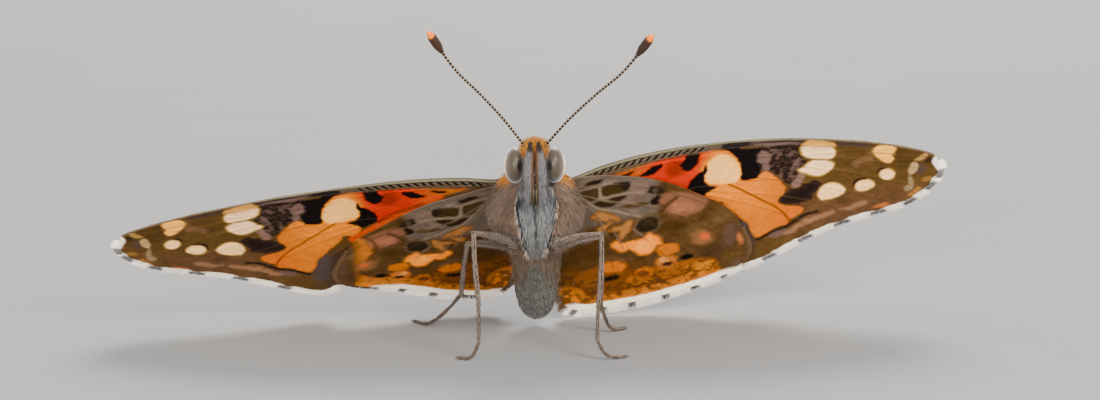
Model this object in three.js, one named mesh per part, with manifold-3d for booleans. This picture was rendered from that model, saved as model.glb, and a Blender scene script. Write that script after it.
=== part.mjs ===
// Painted lady butterfly, a still life-size figure, in millimetres.
// +Z is up, the insect faces -Y and its left wings are on +X.
// The floor is the plane z = 0: four feet rest on it and the abdomen hangs just clear of it.
import * as THREE from 'three';
import { mergeVertices } from 'three/addons/utils/BufferGeometryUtils.js';
import Module from 'manifold-3d';

const wasm = await Module();
wasm.setup();

// Driving dimensions
const GAP = 0.3;
const BODY_X = 0.12;
const WING_ROOT = new THREE.Vector3(2.9, 6.2, 11.7);
const WING_THICK = 0.5;
const HIND_DROP = 0.8;
const VEIN_RISE = 0.15;
const FORE_VEIN_HALF = 0.2;
const HIND_VEIN_HALF = 0.17;
const CAMBER_SPAN = 25;
const POSE = {
  left: { side: 1, dihedral: 14.67, pitch: 48.33, sweep: 9.96, camber: 1.15 },
  right: { side: -1, dihedral: -5.47, pitch: 39.81, sweep: 11.21, camber: -1.0 },
};
const THORAX_FRONT = new THREE.Vector2(2.0, 13.15);
const THORAX_BACK = new THREE.Vector2(6.5, 8.0);
const HEAD_CENTRE = new THREE.Vector3(BODY_X, 1.1, 14.2);
const HEAD_TILT = 67;
const EYE_OUT = 1.4;
const EYE_RADII = [0.8, 1.32, 1.2];
const ANTENNA_RADIUS = 0.25;
const CLUB_RADIUS = 0.4;
const COLOURS = {
  body: 0x9a8a78,
  head: 0xc08040,
  eye: 0x8a8672,
  palp: 0xd8d6d2,
  dark: 0x2b2420,
  leg: 0xb8a48c,
  fore: 0xe0783a,
  hind: 0xa8845c,
};

// Helpers for closed solids
function toSolid(geometry) {
  const clean = geometry.clone();
  clean.deleteAttribute('normal');
  clean.deleteAttribute('uv');
  const merged = mergeVertices(clean, 1e-5);
  return new wasm.Manifold(new wasm.Mesh({
    numProp: 3,
    vertProperties: new Float32Array(merged.attributes.position.array),
    triVerts: new Uint32Array(merged.index.array),
  }));
}

function toGeometry(solid) {
  let best = null;
  for (const piece of solid.decompose()) {
    if (!best || piece.volume() > best.volume()) {
      best = piece;
    }
  }
  const mesh = best.getMesh();
  const geometry = new THREE.BufferGeometry();
  const position = new THREE.BufferAttribute(new Float32Array(mesh.vertProperties), 3);
  geometry.setAttribute('position', position);
  geometry.setIndex(new THREE.BufferAttribute(new Uint32Array(mesh.triVerts), 1));
  return geometry;
}

function signedVolume(points, faces) {
  const cross = new THREE.Vector3();
  let sum = 0;
  for (const [a, b, c] of faces) {
    cross.crossVectors(points[b], points[c]);
    sum += points[a].dot(cross);
  }
  return sum / 6;
}

// A closed surface from points and triangles, with its faces turned outward
function closedGeometry(points, faces) {
  const flip = signedVolume(points, faces) < 0;
  const index = [];
  for (const [a, b, c] of faces) {
    index.push(a, flip ? c : b, flip ? b : c);
  }
  const geometry = new THREE.BufferGeometry();
  const flat = new Float32Array(points.flatMap((p) => [p.x, p.y, p.z]));
  geometry.setAttribute('position', new THREE.BufferAttribute(flat, 3));
  geometry.setIndex(index);
  return geometry;
}

// A skin over rings of equal count, closed by a fan at each end
function loft(rings) {
  const count = rings[0].length;
  const points = rings.flat();
  const faces = [];
  for (let i = 0; i + 1 < rings.length; i += 1) {
    for (let j = 0; j < count; j += 1) {
      const k = (j + 1) % count;
      const a = i * count + j;
      const b = i * count + k;
      faces.push([a, b, b + count], [a, b + count, a + count]);
    }
  }
  for (const [ring, start] of [[0, 0], [rings.length - 1, points.length - count]]) {
    const middle = new THREE.Vector3();
    rings[ring].forEach((p) => middle.addScaledVector(p, 1 / count));
    const at = points.push(middle) - 1;
    for (let j = 0; j < count; j += 1) {
      const k = (j + 1) % count;
      faces.push(ring ? [start + j, start + k, at] : [start + k, start + j, at]);
    }
  }
  return closedGeometry(points, faces);
}

// A round limb along a smooth path, with domed ends
function limb(path, radii, sides = 7, steps = 6) {
  const curve = new THREE.CatmullRomCurve3(path.map((p) => new THREE.Vector3(...p)));
  const frames = [];
  let across = new THREE.Vector3(0.3, 0.5, 0.8);
  for (let i = 0; i <= steps; i += 1) {
    const t = i / steps;
    const along = curve.getTangentAt(t);
    across = across.clone().addScaledVector(along, -across.dot(along)).normalize();
    const other = new THREE.Vector3().crossVectors(along, across);
    const place = t * (radii.length - 1);
    const low = Math.min(radii.length - 2, Math.floor(place));
    const radius = radii[low] + (radii[low + 1] - radii[low]) * (place - low);
    frames.push({ centre: curve.getPointAt(t), along, across, other, radius });
  }
  const ring = (frame, shift, scale) => {
    const out = [];
    for (let j = 0; j < sides; j += 1) {
      const angle = (j / sides) * Math.PI * 2;
      const p = frame.centre.clone().addScaledVector(frame.along, shift);
      p.addScaledVector(frame.across, Math.cos(angle) * frame.radius * scale);
      p.addScaledVector(frame.other, Math.sin(angle) * frame.radius * scale);
      out.push(p);
    }
    return out;
  };
  const first = frames[0];
  const last = frames[steps];
  const rings = [ring(first, -0.8 * first.radius, 0.45)];
  frames.forEach((frame) => rings.push(ring(frame, 0, 1)));
  rings.push(ring(last, 0.8 * last.radius, 0.45));
  return loft(rings);
}

function join(geometries) {
  return geometries.map(toSolid).reduce((all, next) => all.add(next));
}

function ellipsoid(centre, radii, tilt, grow = 0, detail = 18) {
  const geometry = new THREE.SphereGeometry(1, detail, Math.round(detail * 0.6));
  geometry.scale(radii[0] + grow, radii[1] + grow, radii[2] + grow);
  geometry.rotateX(-THREE.MathUtils.degToRad(tilt));
  geometry.translate(centre.x, centre.y, centre.z);
  return toSolid(geometry);
}

// The slab under the floor, which leaves small flats on feet and tail
function floorSlab() {
  const slab = new THREE.BoxGeometry(90, 70, 4);
  slab.translate(0, 8, -2);
  return toSolid(slab);
}

// Body: sections across an axis that lies in the plane x = BODY_X
function bodyLoft(axis, sections, grow, sides = 18) {
  const rings = [];
  const last = sections.length - 1;
  sections.forEach((section, i) => {
    const [s, half, back, belly] = section;
    const centre = axis(s);
    const along = axis(s + 0.01).sub(axis(s - 0.01)).normalize();
    const end = i === 0 ? -grow : i === last ? grow : 0;
    const ring = [];
    for (let j = 0; j < sides; j += 1) {
      const angle = (j / sides) * Math.PI * 2;
      const up = Math.sin(angle);
      const rise = (up > 0 ? back + grow : belly + grow) * up;
      const x = BODY_X + (half + grow) * Math.cos(angle);
      const y = centre.x - along.y * rise + along.x * end;
      const z = centre.y + along.x * rise + along.y * end;
      ring.push(new THREE.Vector3(x, y, z));
    }
    rings.push(ring);
  });
  return loft(rings);
}

// Each section is station, half width, height of back, depth of belly
const THORAX = [
  [0, 1.7, 1.3, 1.25],
  [0.12, 2.5, 2.0, 1.75],
  [0.28, 3.15, 2.7, 2.15],
  [0.45, 3.55, 3.1, 2.45],
  [0.62, 3.5, 3.05, 2.5],
  [0.78, 3.05, 2.6, 2.25],
  [0.92, 2.3, 1.95, 1.75],
  [1, 1.8, 1.6, 1.4],
];

function thoraxAxis(s) {
  return THORAX_FRONT.clone().lerp(THORAX_BACK, s);
}

function thoraxSolid(grow) {
  return toSolid(bodyLoft(thoraxAxis, THORAX, grow));
}

const ABDOMEN_LINE = new THREE.SplineCurve([
  new THREE.Vector2(6.78, 7.7),
  new THREE.Vector2(8.9, 5.32),
  new THREE.Vector2(10.9, 3.2),
  new THREE.Vector2(12.4, 1.82),
  new THREE.Vector2(13.7, 1.12),
]);
const ABDOMEN_RINGS = 7;

function abdomenAxis(s) {
  const t = THREE.MathUtils.clamp(s, 0, 1);
  const point = ABDOMEN_LINE.getPoint(t);
  const slope = ABDOMEN_LINE.getTangent(t);
  return point.addScaledVector(slope, (s - t) * 10);
}

function abdomenRadius(s) {
  const swell = 1.45 + 0.25 * Math.sin(Math.PI * Math.min(1, s * 1.05));
  const tail = Math.sqrt(Math.max(0.06, 1 - Math.pow(s, 9)));
  return swell * tail;
}

function abdomenSolid(grow) {
  const sections = [];
  for (let ring = 0; ring < ABDOMEN_RINGS; ring += 1) {
    for (const [part, dip] of [[0, 0.94], [0.25, 1], [0.8, 1]]) {
      const s = (ring + part) / ABDOMEN_RINGS;
      const r = abdomenRadius(s) * (ring === 0 ? 1 : dip);
      sections.push([s, r, r * 0.98, r * 0.95]);
    }
  }
  sections.push([1, 0.35, 0.35, 0.35]);
  return toSolid(bodyLoft(abdomenAxis, sections, grow, 16));
}

// Head with its sockets for the eyes
function headSolid(grow) {
  return ellipsoid(HEAD_CENTRE, [1.42, 1.7, 1.4], HEAD_TILT, grow, 20);
}

function eyeSolid(side, grow) {
  const centre = new THREE.Vector3(BODY_X + side * EYE_OUT, 0.92, 14.08);
  return ellipsoid(centre, EYE_RADII, HEAD_TILT, grow, 18);
}

function palpSolid(side) {
  const x = (out) => BODY_X + side * out;
  const path = [
    [x(0.6), 1.2, 12.6],
    [x(0.72), 0.1, 11.9],
    [x(0.76), -0.75, 12.7],
    [x(0.74), -1.15, 14.1],
    [x(0.6), -1.2, 15.7],
  ];
  return toSolid(limb(path, [0.3, 0.36, 0.36, 0.33, 0.12], 8, 9));
}

// The sucking tube rolled up in a flat spiral between the palps
function proboscisSolid() {
  const turns = 1.8;
  const steps = 34;
  const rings = [];
  for (let i = 0; i <= steps; i += 1) {
    const t = i / steps;
    const angle = 1.35 + turns * Math.PI * 2 * t;
    const reach = 0.86 - 0.56 * t;
    const thick = 0.14 - 0.03 * t;
    const ring = [];
    for (let j = 0; j < 7; j += 1) {
      const turn = (j / 7) * Math.PI * 2;
      const r = reach + thick * Math.cos(turn);
      const x = BODY_X + 0.22 * Math.sin(turn);
      ring.push(new THREE.Vector3(x, -0.28 + r * Math.cos(angle), 12.15 + r * Math.sin(angle)));
    }
    rings.push(ring);
  }
  return toSolid(loft(rings));
}

// Feelers: a thin shaft and a club that fills out near its tip
function antennaSolid(side) {
  const tip = side > 0 ? [8.3, -9.0, 24.55] : [-7.04, -9.0, 24.9];
  const root = [BODY_X + side * 0.5, 0.75, 15.2];
  const mix = (t, drop) => root.map((v, i) => v + (tip[i] - v) * t - (i === 2 ? drop : 0));
  const path = [root, mix(0.25, -0.15), mix(0.5, 0.05), mix(0.75, 0.4), tip];
  const radii = [];
  for (let i = 0; i <= 20; i += 1) {
    const t = i / 20;
    const club = THREE.MathUtils.smoothstep(t, 0.8, 0.93);
    radii.push(ANTENNA_RADIUS + (CLUB_RADIUS - ANTENNA_RADIUS) * club);
  }
  radii[20] = CLUB_RADIUS * 0.6;
  return toSolid(limb(path, radii, 7, 20));
}

// Legs
function spur(from, to) {
  return limb([from, to], [0.12, 0.05], 5, 1);
}

function walkingLeg(coxa, knee, ankle, foot) {
  const hip = coxa.map((v, i) => v + (knee[i] - v) * 0.12);
  const pieces = [
    limb([coxa, hip], [0.42, 0.38], 7, 1),
    limb([hip, knee], [0.36, 0.3, 0.26], 7, 2),
    limb([knee, ankle], [0.27, 0.29, 0.26], 7, 2),
    limb([ankle, ...foot], [0.25, 0.25, 0.24, 0.22, 0.2], 7, 9),
  ];
  const shin = ankle.map((v, i) => v - knee[i]);
  for (const lean of [-1, 1]) {
    const end = ankle.map((v, i) => v + shin[i] * 0.1 + (i === 0 ? lean * 0.42 : 0));
    pieces.push(spur(ankle, end));
  }
  return join(pieces);
}

function midLeg(side) {
  if (side > 0) {
    const foot = [
      [4.5, -0.5, 1.9], [4.65, -0.42, 1.2], [5.1, -0.1, 0.5], [5.7, 0.15, 0.24], [6.47, 0.5, 0.2],
    ];
    return walkingLeg([1.35, 3.4, 7.9], [4.85, -0.2, 9.2], [4.6, -0.35, 4.3], foot);
  }
  const foot = [
    [-3.98, -0.5, 1.9], [-4.1, -0.42, 1.2], [-4.45, -0.1, 0.5], [-4.9, 0.2, 0.24], [-5.45, 0.55, 0.2],
  ];
  return walkingLeg([-1.15, 3.4, 7.9], [-4.3, -0.2, 9.35], [-4.0, -0.35, 4.5], foot);
}

function hindLeg(side) {
  if (side > 0) {
    const foot = [[5.15, 9.2, 1.45], [5.5, 9.7, 0.6], [5.95, 10.1, 0.26], [6.65, 10.8, 0.2]];
    return walkingLeg([1.25, 5.2, 7.2], [4.9, 6.9, 7.75], [4.85, 8.5, 2.75], foot);
  }
  const foot = [[-6.3, 10.6, 1.9], [-7.25, 11.7, 0.9], [-8.1, 12.8, 0.3], [-9.1, 14.3, 0.2]];
  return walkingLeg([-1.05, 5.2, 7.2], [-4.87, 7.0, 7.3], [-5.42, 9.5, 3.1], foot);
}

// The short first pair is folded flat on the chest
function foreLeg(side) {
  const x = (out) => BODY_X + side * out;
  const upper = [[x(1.2), 1.0, 12.1], [x(1.0), 1.2, 10.6], [x(0.75), 2.1, 8.9], [x(0.62), 3.2, 7.3]];
  const lower = [[x(0.62), 3.2, 7.3], [x(0.48), 2.2, 8.2], [x(0.46), 1.2, 9.5], [x(0.46), 0.75, 10.7]];
  return join([
    limb(upper, [0.34, 0.34, 0.32, 0.3], 7, 5),
    limb(lower, [0.3, 0.3, 0.28, 0.25], 7, 5),
  ]);
}

// Wing outlines, root to tip to root, x along the wing and y towards its front edge
const FORE_FRONT = [
  [-1.3, 0.5], [0, 0.95], [2, 1.9], [4.5, 2.7], [8, 3.35], [12, 3.65], [16, 3.6],
  [20, 3.2], [24, 2.5], [27, 1.6], [28.4, 0.65], [29, -0.5], [28.9, -1.7],
];
const FORE_BACK = [
  [21, -7.6], [19.3, -8.8],
  [17.8, -10.1], [16.6, -11.0], [15.4, -11.4], [14, -10.8], [11, -8.7], [7, -5.9], [3, -3],
  [0.3, -1.3], [-1.3, -0.9],
];
const FORE_OUTLINE = {
  left: [
    ...FORE_FRONT, [28.45, -2.9], [27.6, -4.1], [26.5, -5.0], [25.0, -5.65], [23.4, -6.3],
    ...FORE_BACK,
  ],
  right: [
    ...FORE_FRONT, [28.25, -2.95], [27.2, -4.0], [26, -4.85], [24.5, -5.6], [22.8, -6.5],
    ...FORE_BACK,
  ],
};
const HIND_OUTLINE = {
  left: [
    [-1.1, 0.9], [0.8, 1.3], [3.8, 0.4], [6.9, -1.2], [9.4, -3.2], [11.5, -5.2],
    [13.1, -7.9], [13.8, -10.2], [13.65, -11.9], [12.85, -13.15], [11.4, -14.0], [9.4, -14.6],
    [7.6, -14.9], [5.8, -15.1], [3.8, -15.1], [2.2, -15.0], [0.5, -14.8], [-0.8, -14.1],
    [-1.35, -12.7], [-1.4, -9], [-1.4, -5], [-1.4, -2.4], [-1.5, -0.9],
  ],
  right: [
    [-1.1, 0.7], [0.6, 0.6], [2.6, -0.2], [4.6, -0.9], [6.4, -2.0], [8.25, -3.4],
    [10.1, -4.9], [11.3, -6.6], [12.1, -8.4], [12.5, -10.2], [12.1, -11.6], [10.8, -12.5],
    [9.2, -12.95], [7.4, -13.4], [5.2, -14.3], [3.6, -14.9], [1.4, -15.3], [-0.1, -15.0],
    [-1.0, -14.1], [-1.35, -12.5], [-1.4, -9], [-1.4, -5], [-1.4, -2.4], [-1.5, -0.9],
  ],
};

// Veins: free ones are drawn through points, the others leave a stem at a station
const FORE_VEINS = {
  cell: 0.45,
  veins: [
    { free: [[0, -1.3, 0.35], [0.3, 6.5, 2.55], [0.6, 11, 3.1]], end: [15.5, 3.62] },
    { stem: 5, at: 0.33, end: [19, 3.33] },
    { stem: 5, at: 0.42, end: [22, 2.87] },
    { stem: 5, at: 0.62, end: [25.3, 2.15] },
    { stem: 5, at: 0.76, end: [27.8, 1.1] },
    { free: [[0, -1.3, 0.1], [0.25, 6.2, 1.7], [0.45, 12.6, 1.95], [0.75, 22, 0.9]], end: [29, -0.8] },
    { between: 0.12, end: [28.35, -2.7] },
    { between: 0.5, end: [26.6, -4.45] },
    { free: [[0, -1.3, -0.25], [0.25, 6.2, -1.35], [0.45, 12.9, -2.1], [0.72, 19.4, -3.7]],
      end: [24.1, -5.8] },
    { stem: 8, at: 0.36, end: [21.3, -7.4] },
    { stem: 8, at: 0.22, end: [18.4, -9.6] },
    { free: [[0, -1.3, -0.6], [0.4, 6.5, -4.3]], end: [15.6, -11.4] },
  ],
  upper: 5,
  lower: 8,
};
const HIND_VEINS = {
  left: {
    cell: 0.42,
    veins: [
      { free: [[0, -1.1, 0.5], [0.3, 4.2, -0.7], [0.65, 9.6, -4.1]], end: [13.45, -9.2] },
      { stem: 2, at: 0.2, end: [12.9, -12.0] },
      { free: [[0, -1.2, 0.15], [0.2, 2.0, -1.75], [0.42, 5.3, -4.9], [0.72, 8.6, -9.5]],
        end: [11.1, -13.25] },
      { between: 0.5, end: [9.0, -14.0] },
      { free: [[0, -1.3, -0.2], [0.2, 1.2, -2.6], [0.42, 3.4, -6.3], [0.72, 5.3, -10.8]],
        end: [6.9, -14.45] },
      { stem: 4, at: 0.38, end: [4.8, -14.6] },
      { stem: 4, at: 0.24, end: [2.7, -14.5] },
      { free: [[0, -1.4, -0.5], [0.4, -0.2, -5.6]], end: [0.7, -14.0] },
    ],
    upper: 2,
    lower: 4,
  },
  right: {
    cell: 0.42,
    veins: [
      { free: [[0, -1.0, 0.45], [0.3, 4.65, -2.2], [0.65, 9.6, -5.45]], end: [12.5, -10.0] },
      { stem: 2, at: 0.2, end: [12.2, -11.8] },
      { free: [[0, -1.1, 0.15], [0.2, 2.6, -3.2], [0.42, 5.7, -6.15], [0.72, 8.7, -10.0]],
        end: [10.3, -12.7] },
      { between: 0.5, end: [8.3, -13.2] },
      { free: [[0, -1.2, -0.2], [0.2, 1.7, -3.7], [0.42, 3.95, -7.35], [0.72, 5.65, -11.2]],
        end: [6.3, -13.9] },
      { stem: 4, at: 0.38, end: [4.4, -14.65] },
      { stem: 4, at: 0.24, end: [2.5, -15.1] },
      { free: [[0, -1.3, -0.5], [0.4, 0, -5.9]], end: [0.65, -15.2] },
    ],
    upper: 2,
    lower: 4,
  },
};

function makeOutline(points) {
  return new THREE.SplineCurve(points.map((p) => new THREE.Vector2(...p)));
}

function nearestOn(outline, end) {
  const target = new THREE.Vector2(...end);
  let best = 0;
  for (let i = 1; i <= 2000; i += 1) {
    const closer = outline.getPoint(i / 2000).distanceTo(target);
    if (closer < outline.getPoint(best).distanceTo(target)) {
      best = i / 2000;
    }
  }
  return best;
}

// Position of a drawn line at station s
function along(stations, s) {
  const curve = new THREE.SplineCurve(stations.map((p) => new THREE.Vector2(p[1], p[2])));
  let k = 0;
  while (k + 2 < stations.length && s > stations[k + 1][0]) {
    k += 1;
  }
  const part = (s - stations[k][0]) / (stations[k + 1][0] - stations[k][0]);
  return curve.getPoint((k + THREE.MathUtils.clamp(part, 0, 1)) / (stations.length - 1));
}

// Lines of one wing: for each vein its start, its end on the outline and its path
function wingLines(outline, plan) {
  const lines = plan.veins.map((vein) => {
    const at = nearestOn(outline, vein.end);
    return { vein, at, end: outline.getPoint(at), start: 0 };
  });
  const path = (line) => {
    if (line.vein.free) {
      const stations = [...line.vein.free, [1, line.end.x, line.end.y]];
      line.start = 0;
      line.point = (s) => along(stations, s);
    }
  };
  lines.forEach(path);
  const corner = [lines[plan.upper].point(plan.cell), lines[plan.lower].point(plan.cell)];
  for (const line of lines) {
    if (line.vein.free) {
      continue;
    }
    const start = line.vein.stem === undefined ? plan.cell : line.vein.at;
    let from = corner[0].clone().lerp(corner[1], line.vein.between || 0);
    let aim = from.clone().lerp(line.end, 0.4);
    if (line.vein.stem !== undefined) {
      const stem = lines[line.vein.stem];
      from = stem.point(start);
      const ahead = stem.point(start + 0.05).sub(from).normalize();
      aim = from.clone().addScaledVector(ahead, from.distanceTo(line.end) * 0.35);
    }
    const curve = new THREE.QuadraticBezierCurve(from, aim, line.end);
    line.start = start;
    line.point = (s) => curve.getPoint((s - start) / (1 - start));
  }
  return lines;
}

// One ring of points across the wing at station s, each with its order, place and rise
function wingRing(outline, plan, lines, s, half) {
  const rise = VEIN_RISE * Math.min(1, (1 - s) * 8);
  const shown = lines.map((line, i) => ({ line, order: i + 1 }))
    .filter(({ line }) => s >= line.start + 0.012 || line.vein.free);
  const placed = shown.map(({ line, order }) => ({ order, p: line.point(s), at: line.at }));
  const kept = placed.filter((item, i) => {
    const next = placed[i + 1];
    return item.order === plan.upper + 1 || !next || item.p.distanceTo(next.p) > 0.16;
  });
  const first = lines[0].at;
  const last = lines[lines.length - 1].at;
  const front = { order: 0, p: outline.getPoint(first * 0.8 * s), at: first * 0.8 };
  const backAt = 1 - (1 - last) * 0.8;
  const back = { order: lines.length + 1, p: outline.getPoint(1 - (1 - backAt) * s), at: backAt };
  const row = [front, ...kept, back];
  const cell = Math.abs(s - plan.cell) < 1e-6;
  const ring = [];
  row.forEach((item, i) => {
    const edge = i === 0 || i === row.length - 1;
    ring.push({ order: item.order, p: item.p, rise: edge ? 0 : rise });
    if (i === row.length - 1) {
      return;
    }
    const next = row[i + 1];
    const apart = item.p.distanceTo(next.p);
    const inCell = cell && item.order > plan.upper && next.order <= plan.lower + 1;
    const foot = (t, order, level) => {
      const p = item.p.clone().lerp(next.p, t);
      if (s > 0.9) {
        const rim = outline.getPoint(item.at + (next.at - item.at) * t);
        p.lerp(rim, (s - 0.9) * 10);
      }
      ring.push({ order, p, rise: inCell ? rise : level });
    };
    const middle = (item.order + next.order) / 2;
    if (apart < half * 4.5) {
      foot(0.5, middle, rise * 0.6 * Math.max(0, 1 - apart / (2 * half)));
      return;
    }
    if (!edge) {
      foot(half / apart, item.order + 0.25, 0);
    }
    foot(0.5, middle, 0);
    if (i + 1 < row.length - 1) {
      foot(1 - half / apart, next.order - 0.25, 0);
    }
  });
  return ring;
}

// Triangles between two rings, stepping along whichever line comes first
function zip(rowA, startA, rowB, startB, faces) {
  let a = 0;
  let b = 0;
  while (a < rowA.length - 1 || b < rowB.length - 1) {
    const nextA = a < rowA.length - 1 ? rowA[a + 1].order : Infinity;
    const nextB = b < rowB.length - 1 ? rowB[b + 1].order : Infinity;
    if (nextA <= nextB) {
      faces.push([startA + a, startB + b, startA + a + 1]);
      a += 1;
    } else {
      faces.push([startA + a, startB + b, startB + b + 1]);
      b += 1;
    }
  }
}

// Turn a point of a wing's plan, swept back, into the body's own directions
function sweepBack(turn, p) {
  return p.clone().rotateAround(new THREE.Vector2(0, 0), -THREE.MathUtils.degToRad(turn));
}

// How deep a point lies inside a closed edge, less than 0 outside it
function depthInside(edge, p) {
  let near = Infinity;
  let inside = false;
  edge.forEach((a, i) => {
    const b = edge[(i + 1) % edge.length];
    const run = b.clone().sub(a);
    const t = THREE.MathUtils.clamp(p.clone().sub(a).dot(run) / run.lengthSq(), 0, 1);
    near = Math.min(near, p.distanceTo(a.clone().addScaledVector(run, t)));
    if ((a.y > p.y) !== (b.y > p.y) && p.x < a.x + (run.x * (p.y - a.y)) / run.y) {
      inside = !inside;
    }
  });
  return inside ? near : -near;
}

// Place a point of a wing in the pose: level is its height off the wing's plane
function poseWing(pose, p, level) {
  const bend = -pose.camber * (Math.max(0, p.x) / CAMBER_SPAN) ** 2;
  const place = new THREE.Vector3(p.x, -p.y, bend + level);
  place.applyAxisAngle(new THREE.Vector3(0, 1, 0), -THREE.MathUtils.degToRad(pose.dihedral));
  place.applyAxisAngle(new THREE.Vector3(1, 0, 0), -THREE.MathUtils.degToRad(pose.pitch));
  place.x *= pose.side;
  place.x += pose.side * WING_ROOT.x;
  place.y += WING_ROOT.y;
  place.z += WING_ROOT.z;
  return place;
}

// Veins stand out on both faces, but sink to nothing where the other wing lies against them
function wingSolid(pose, wing, other) {
  const { plan, stations, half, turn, drop } = wing;
  const outline = makeOutline(wing.outline);
  const against = makeOutline(other.outline).getPoints(90).map((p) => sweepBack(other.turn, p));
  const lines = wingLines(outline, plan);
  const rows = stations.map((s) => wingRing(outline, plan, lines, s, half));
  const total = rows.reduce((sum, row) => sum + row.length, 0);
  const points = [];
  for (const face of [1, -1]) {
    for (const row of rows) {
      for (const item of row) {
        const p = sweepBack(turn, item.p);
        const hidden = face === wing.coveredFace ? depthInside(against, p) : -1;
        const rise = item.rise * (1 - THREE.MathUtils.smoothstep(hidden, -0.8, -0.2));
        points.push(poseWing(pose, p, face * (WING_THICK / 2 + rise) - drop));
      }
    }
  }
  const upper = [];
  const starts = [];
  let start = 0;
  rows.forEach((row, i) => {
    starts.push(start);
    if (i > 0) {
      zip(rows[i - 1], starts[i - 1], row, start, upper);
    }
    start += row.length;
  });
  const rim = rows.map((row, i) => starts[i]);
  rows[rows.length - 1].forEach((item, j) => rim.push(starts[rows.length - 1] + j));
  for (let i = rows.length - 2; i >= 0; i -= 1) {
    rim.push(starts[i] + rows[i].length - 1);
  }
  for (let j = rows[0].length - 2; j > 0; j -= 1) {
    rim.push(j);
  }
  const loop = rim.filter((v, i) => v !== rim[(i + 1) % rim.length]);
  const faces = [...upper];
  upper.forEach(([a, b, c]) => faces.push([a + total, c + total, b + total]));
  loop.forEach((v, i) => {
    const w = loop[(i + 1) % loop.length];
    faces.push([w, v, v + total], [w, v + total, w + total]);
  });
  return toSolid(closedGeometry(points, faces));
}

const FORE_STATIONS = [0, 0.08, 0.18, 0.3, 0.438, 0.45, 0.462, 0.56, 0.67, 0.79, 0.9, 1];
const HIND_STATIONS = [0, 0.08, 0.18, 0.29, 0.408, 0.42, 0.432, 0.56, 0.7, 0.86, 1];

function wingPair(name, pose) {
  const fore = {
    outline: FORE_OUTLINE[name],
    plan: FORE_VEINS,
    stations: FORE_STATIONS,
    half: FORE_VEIN_HALF,
    turn: pose.sweep,
    drop: 0,
    coveredFace: -1,
  };
  const hind = {
    outline: HIND_OUTLINE[name],
    plan: HIND_VEINS[name],
    stations: HIND_STATIONS,
    half: HIND_VEIN_HALF,
    turn: 0,
    drop: HIND_DROP,
    coveredFace: 1,
  };
  return { fore: wingSolid(pose, fore, hind), hind: wingSolid(pose, hind, fore) };
}

// Put the figure together, each piece cut clear of what it grows from
const butterfly = new THREE.Group();

function place(name, solid, colour, roughness = 0.8) {
  const material = new THREE.MeshStandardMaterial({ color: colour, roughness, metalness: 0 });
  const mesh = new THREE.Mesh(toGeometry(solid), material);
  mesh.name = name;
  butterfly.add(mesh);
}

const slab = floorSlab();
const eyes = { left: eyeSolid(1, GAP), right: eyeSolid(-1, GAP) };
const head = headSolid(0).subtract(eyes.left).subtract(eyes.right);
const headClear = headSolid(GAP);
const thorax = thoraxSolid(0).subtract(headClear).subtract(eyes.left).subtract(eyes.right);
const thoraxClear = thoraxSolid(GAP);
const abdomen = abdomenSolid(0).subtract(thoraxClear).subtract(slab);
const abdomenClear = abdomenSolid(GAP);
const bodyClear = thoraxClear.add(abdomenClear).add(headClear);

place('head', head, COLOURS.head);
place('thorax', thorax, COLOURS.body);
place('abdomen', abdomen, COLOURS.body);
place('proboscis', proboscisSolid().subtract(headClear), COLOURS.dark);
for (const name of ['left', 'right']) {
  const pose = POSE[name];
  const side = pose.side;
  const wings = wingPair(name, pose);
  place(`eye_${name}`, eyeSolid(side, 0), COLOURS.eye, 0.3);
  place(`palp_${name}`, palpSolid(side).subtract(headClear).subtract(eyes[name]), COLOURS.palp);
  place(`antenna_${name}`, antennaSolid(side).subtract(headClear), COLOURS.dark);
  place(`forewing_${name}`, wings.fore.subtract(bodyClear), COLOURS.fore);
  place(`hindwing_${name}`, wings.hind.subtract(bodyClear), COLOURS.hind);
  place(`leg_fore_${name}`, foreLeg(side).subtract(bodyClear), COLOURS.palp);
  place(`leg_mid_${name}`, midLeg(side).subtract(bodyClear).subtract(slab), COLOURS.leg);
  place(`leg_hind_${name}`, hindLeg(side).subtract(bodyClear).subtract(slab), COLOURS.leg);
}

// The origin is under the middle of the whole figure, on the floor
const box = new THREE.Box3().setFromObject(butterfly);
butterfly.position.set(-(box.min.x + box.max.x) / 2, -(box.min.y + box.max.y) / 2, 0);
butterfly.updateMatrixWorld(true);

export default butterfly;
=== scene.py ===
# Painted lady butterfly, life size: the looks of the still model, in metres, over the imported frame.
import math

import bpy
import numpy as np
from mathutils import Matrix, Vector


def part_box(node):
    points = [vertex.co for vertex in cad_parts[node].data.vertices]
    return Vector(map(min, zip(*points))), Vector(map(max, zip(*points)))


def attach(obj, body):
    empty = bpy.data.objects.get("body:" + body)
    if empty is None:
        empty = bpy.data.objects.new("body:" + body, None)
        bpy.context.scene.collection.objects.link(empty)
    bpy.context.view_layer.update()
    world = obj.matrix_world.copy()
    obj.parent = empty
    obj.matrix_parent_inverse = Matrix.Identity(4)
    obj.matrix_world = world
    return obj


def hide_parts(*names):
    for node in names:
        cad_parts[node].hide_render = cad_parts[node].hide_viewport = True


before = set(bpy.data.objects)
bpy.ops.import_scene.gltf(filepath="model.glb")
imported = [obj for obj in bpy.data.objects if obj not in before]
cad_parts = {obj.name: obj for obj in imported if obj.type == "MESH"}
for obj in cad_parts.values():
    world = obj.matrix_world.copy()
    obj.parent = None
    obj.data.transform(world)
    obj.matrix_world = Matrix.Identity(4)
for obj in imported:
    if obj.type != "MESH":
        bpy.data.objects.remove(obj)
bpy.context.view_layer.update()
MM = 0.001
random = np.random.default_rng(7)
SIDES = ((1, "left"), (-1, "right"))
# Side of the square that a tuft or a fringe hair takes up on the OFBake map
MAP_PATCH = 0.003

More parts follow.
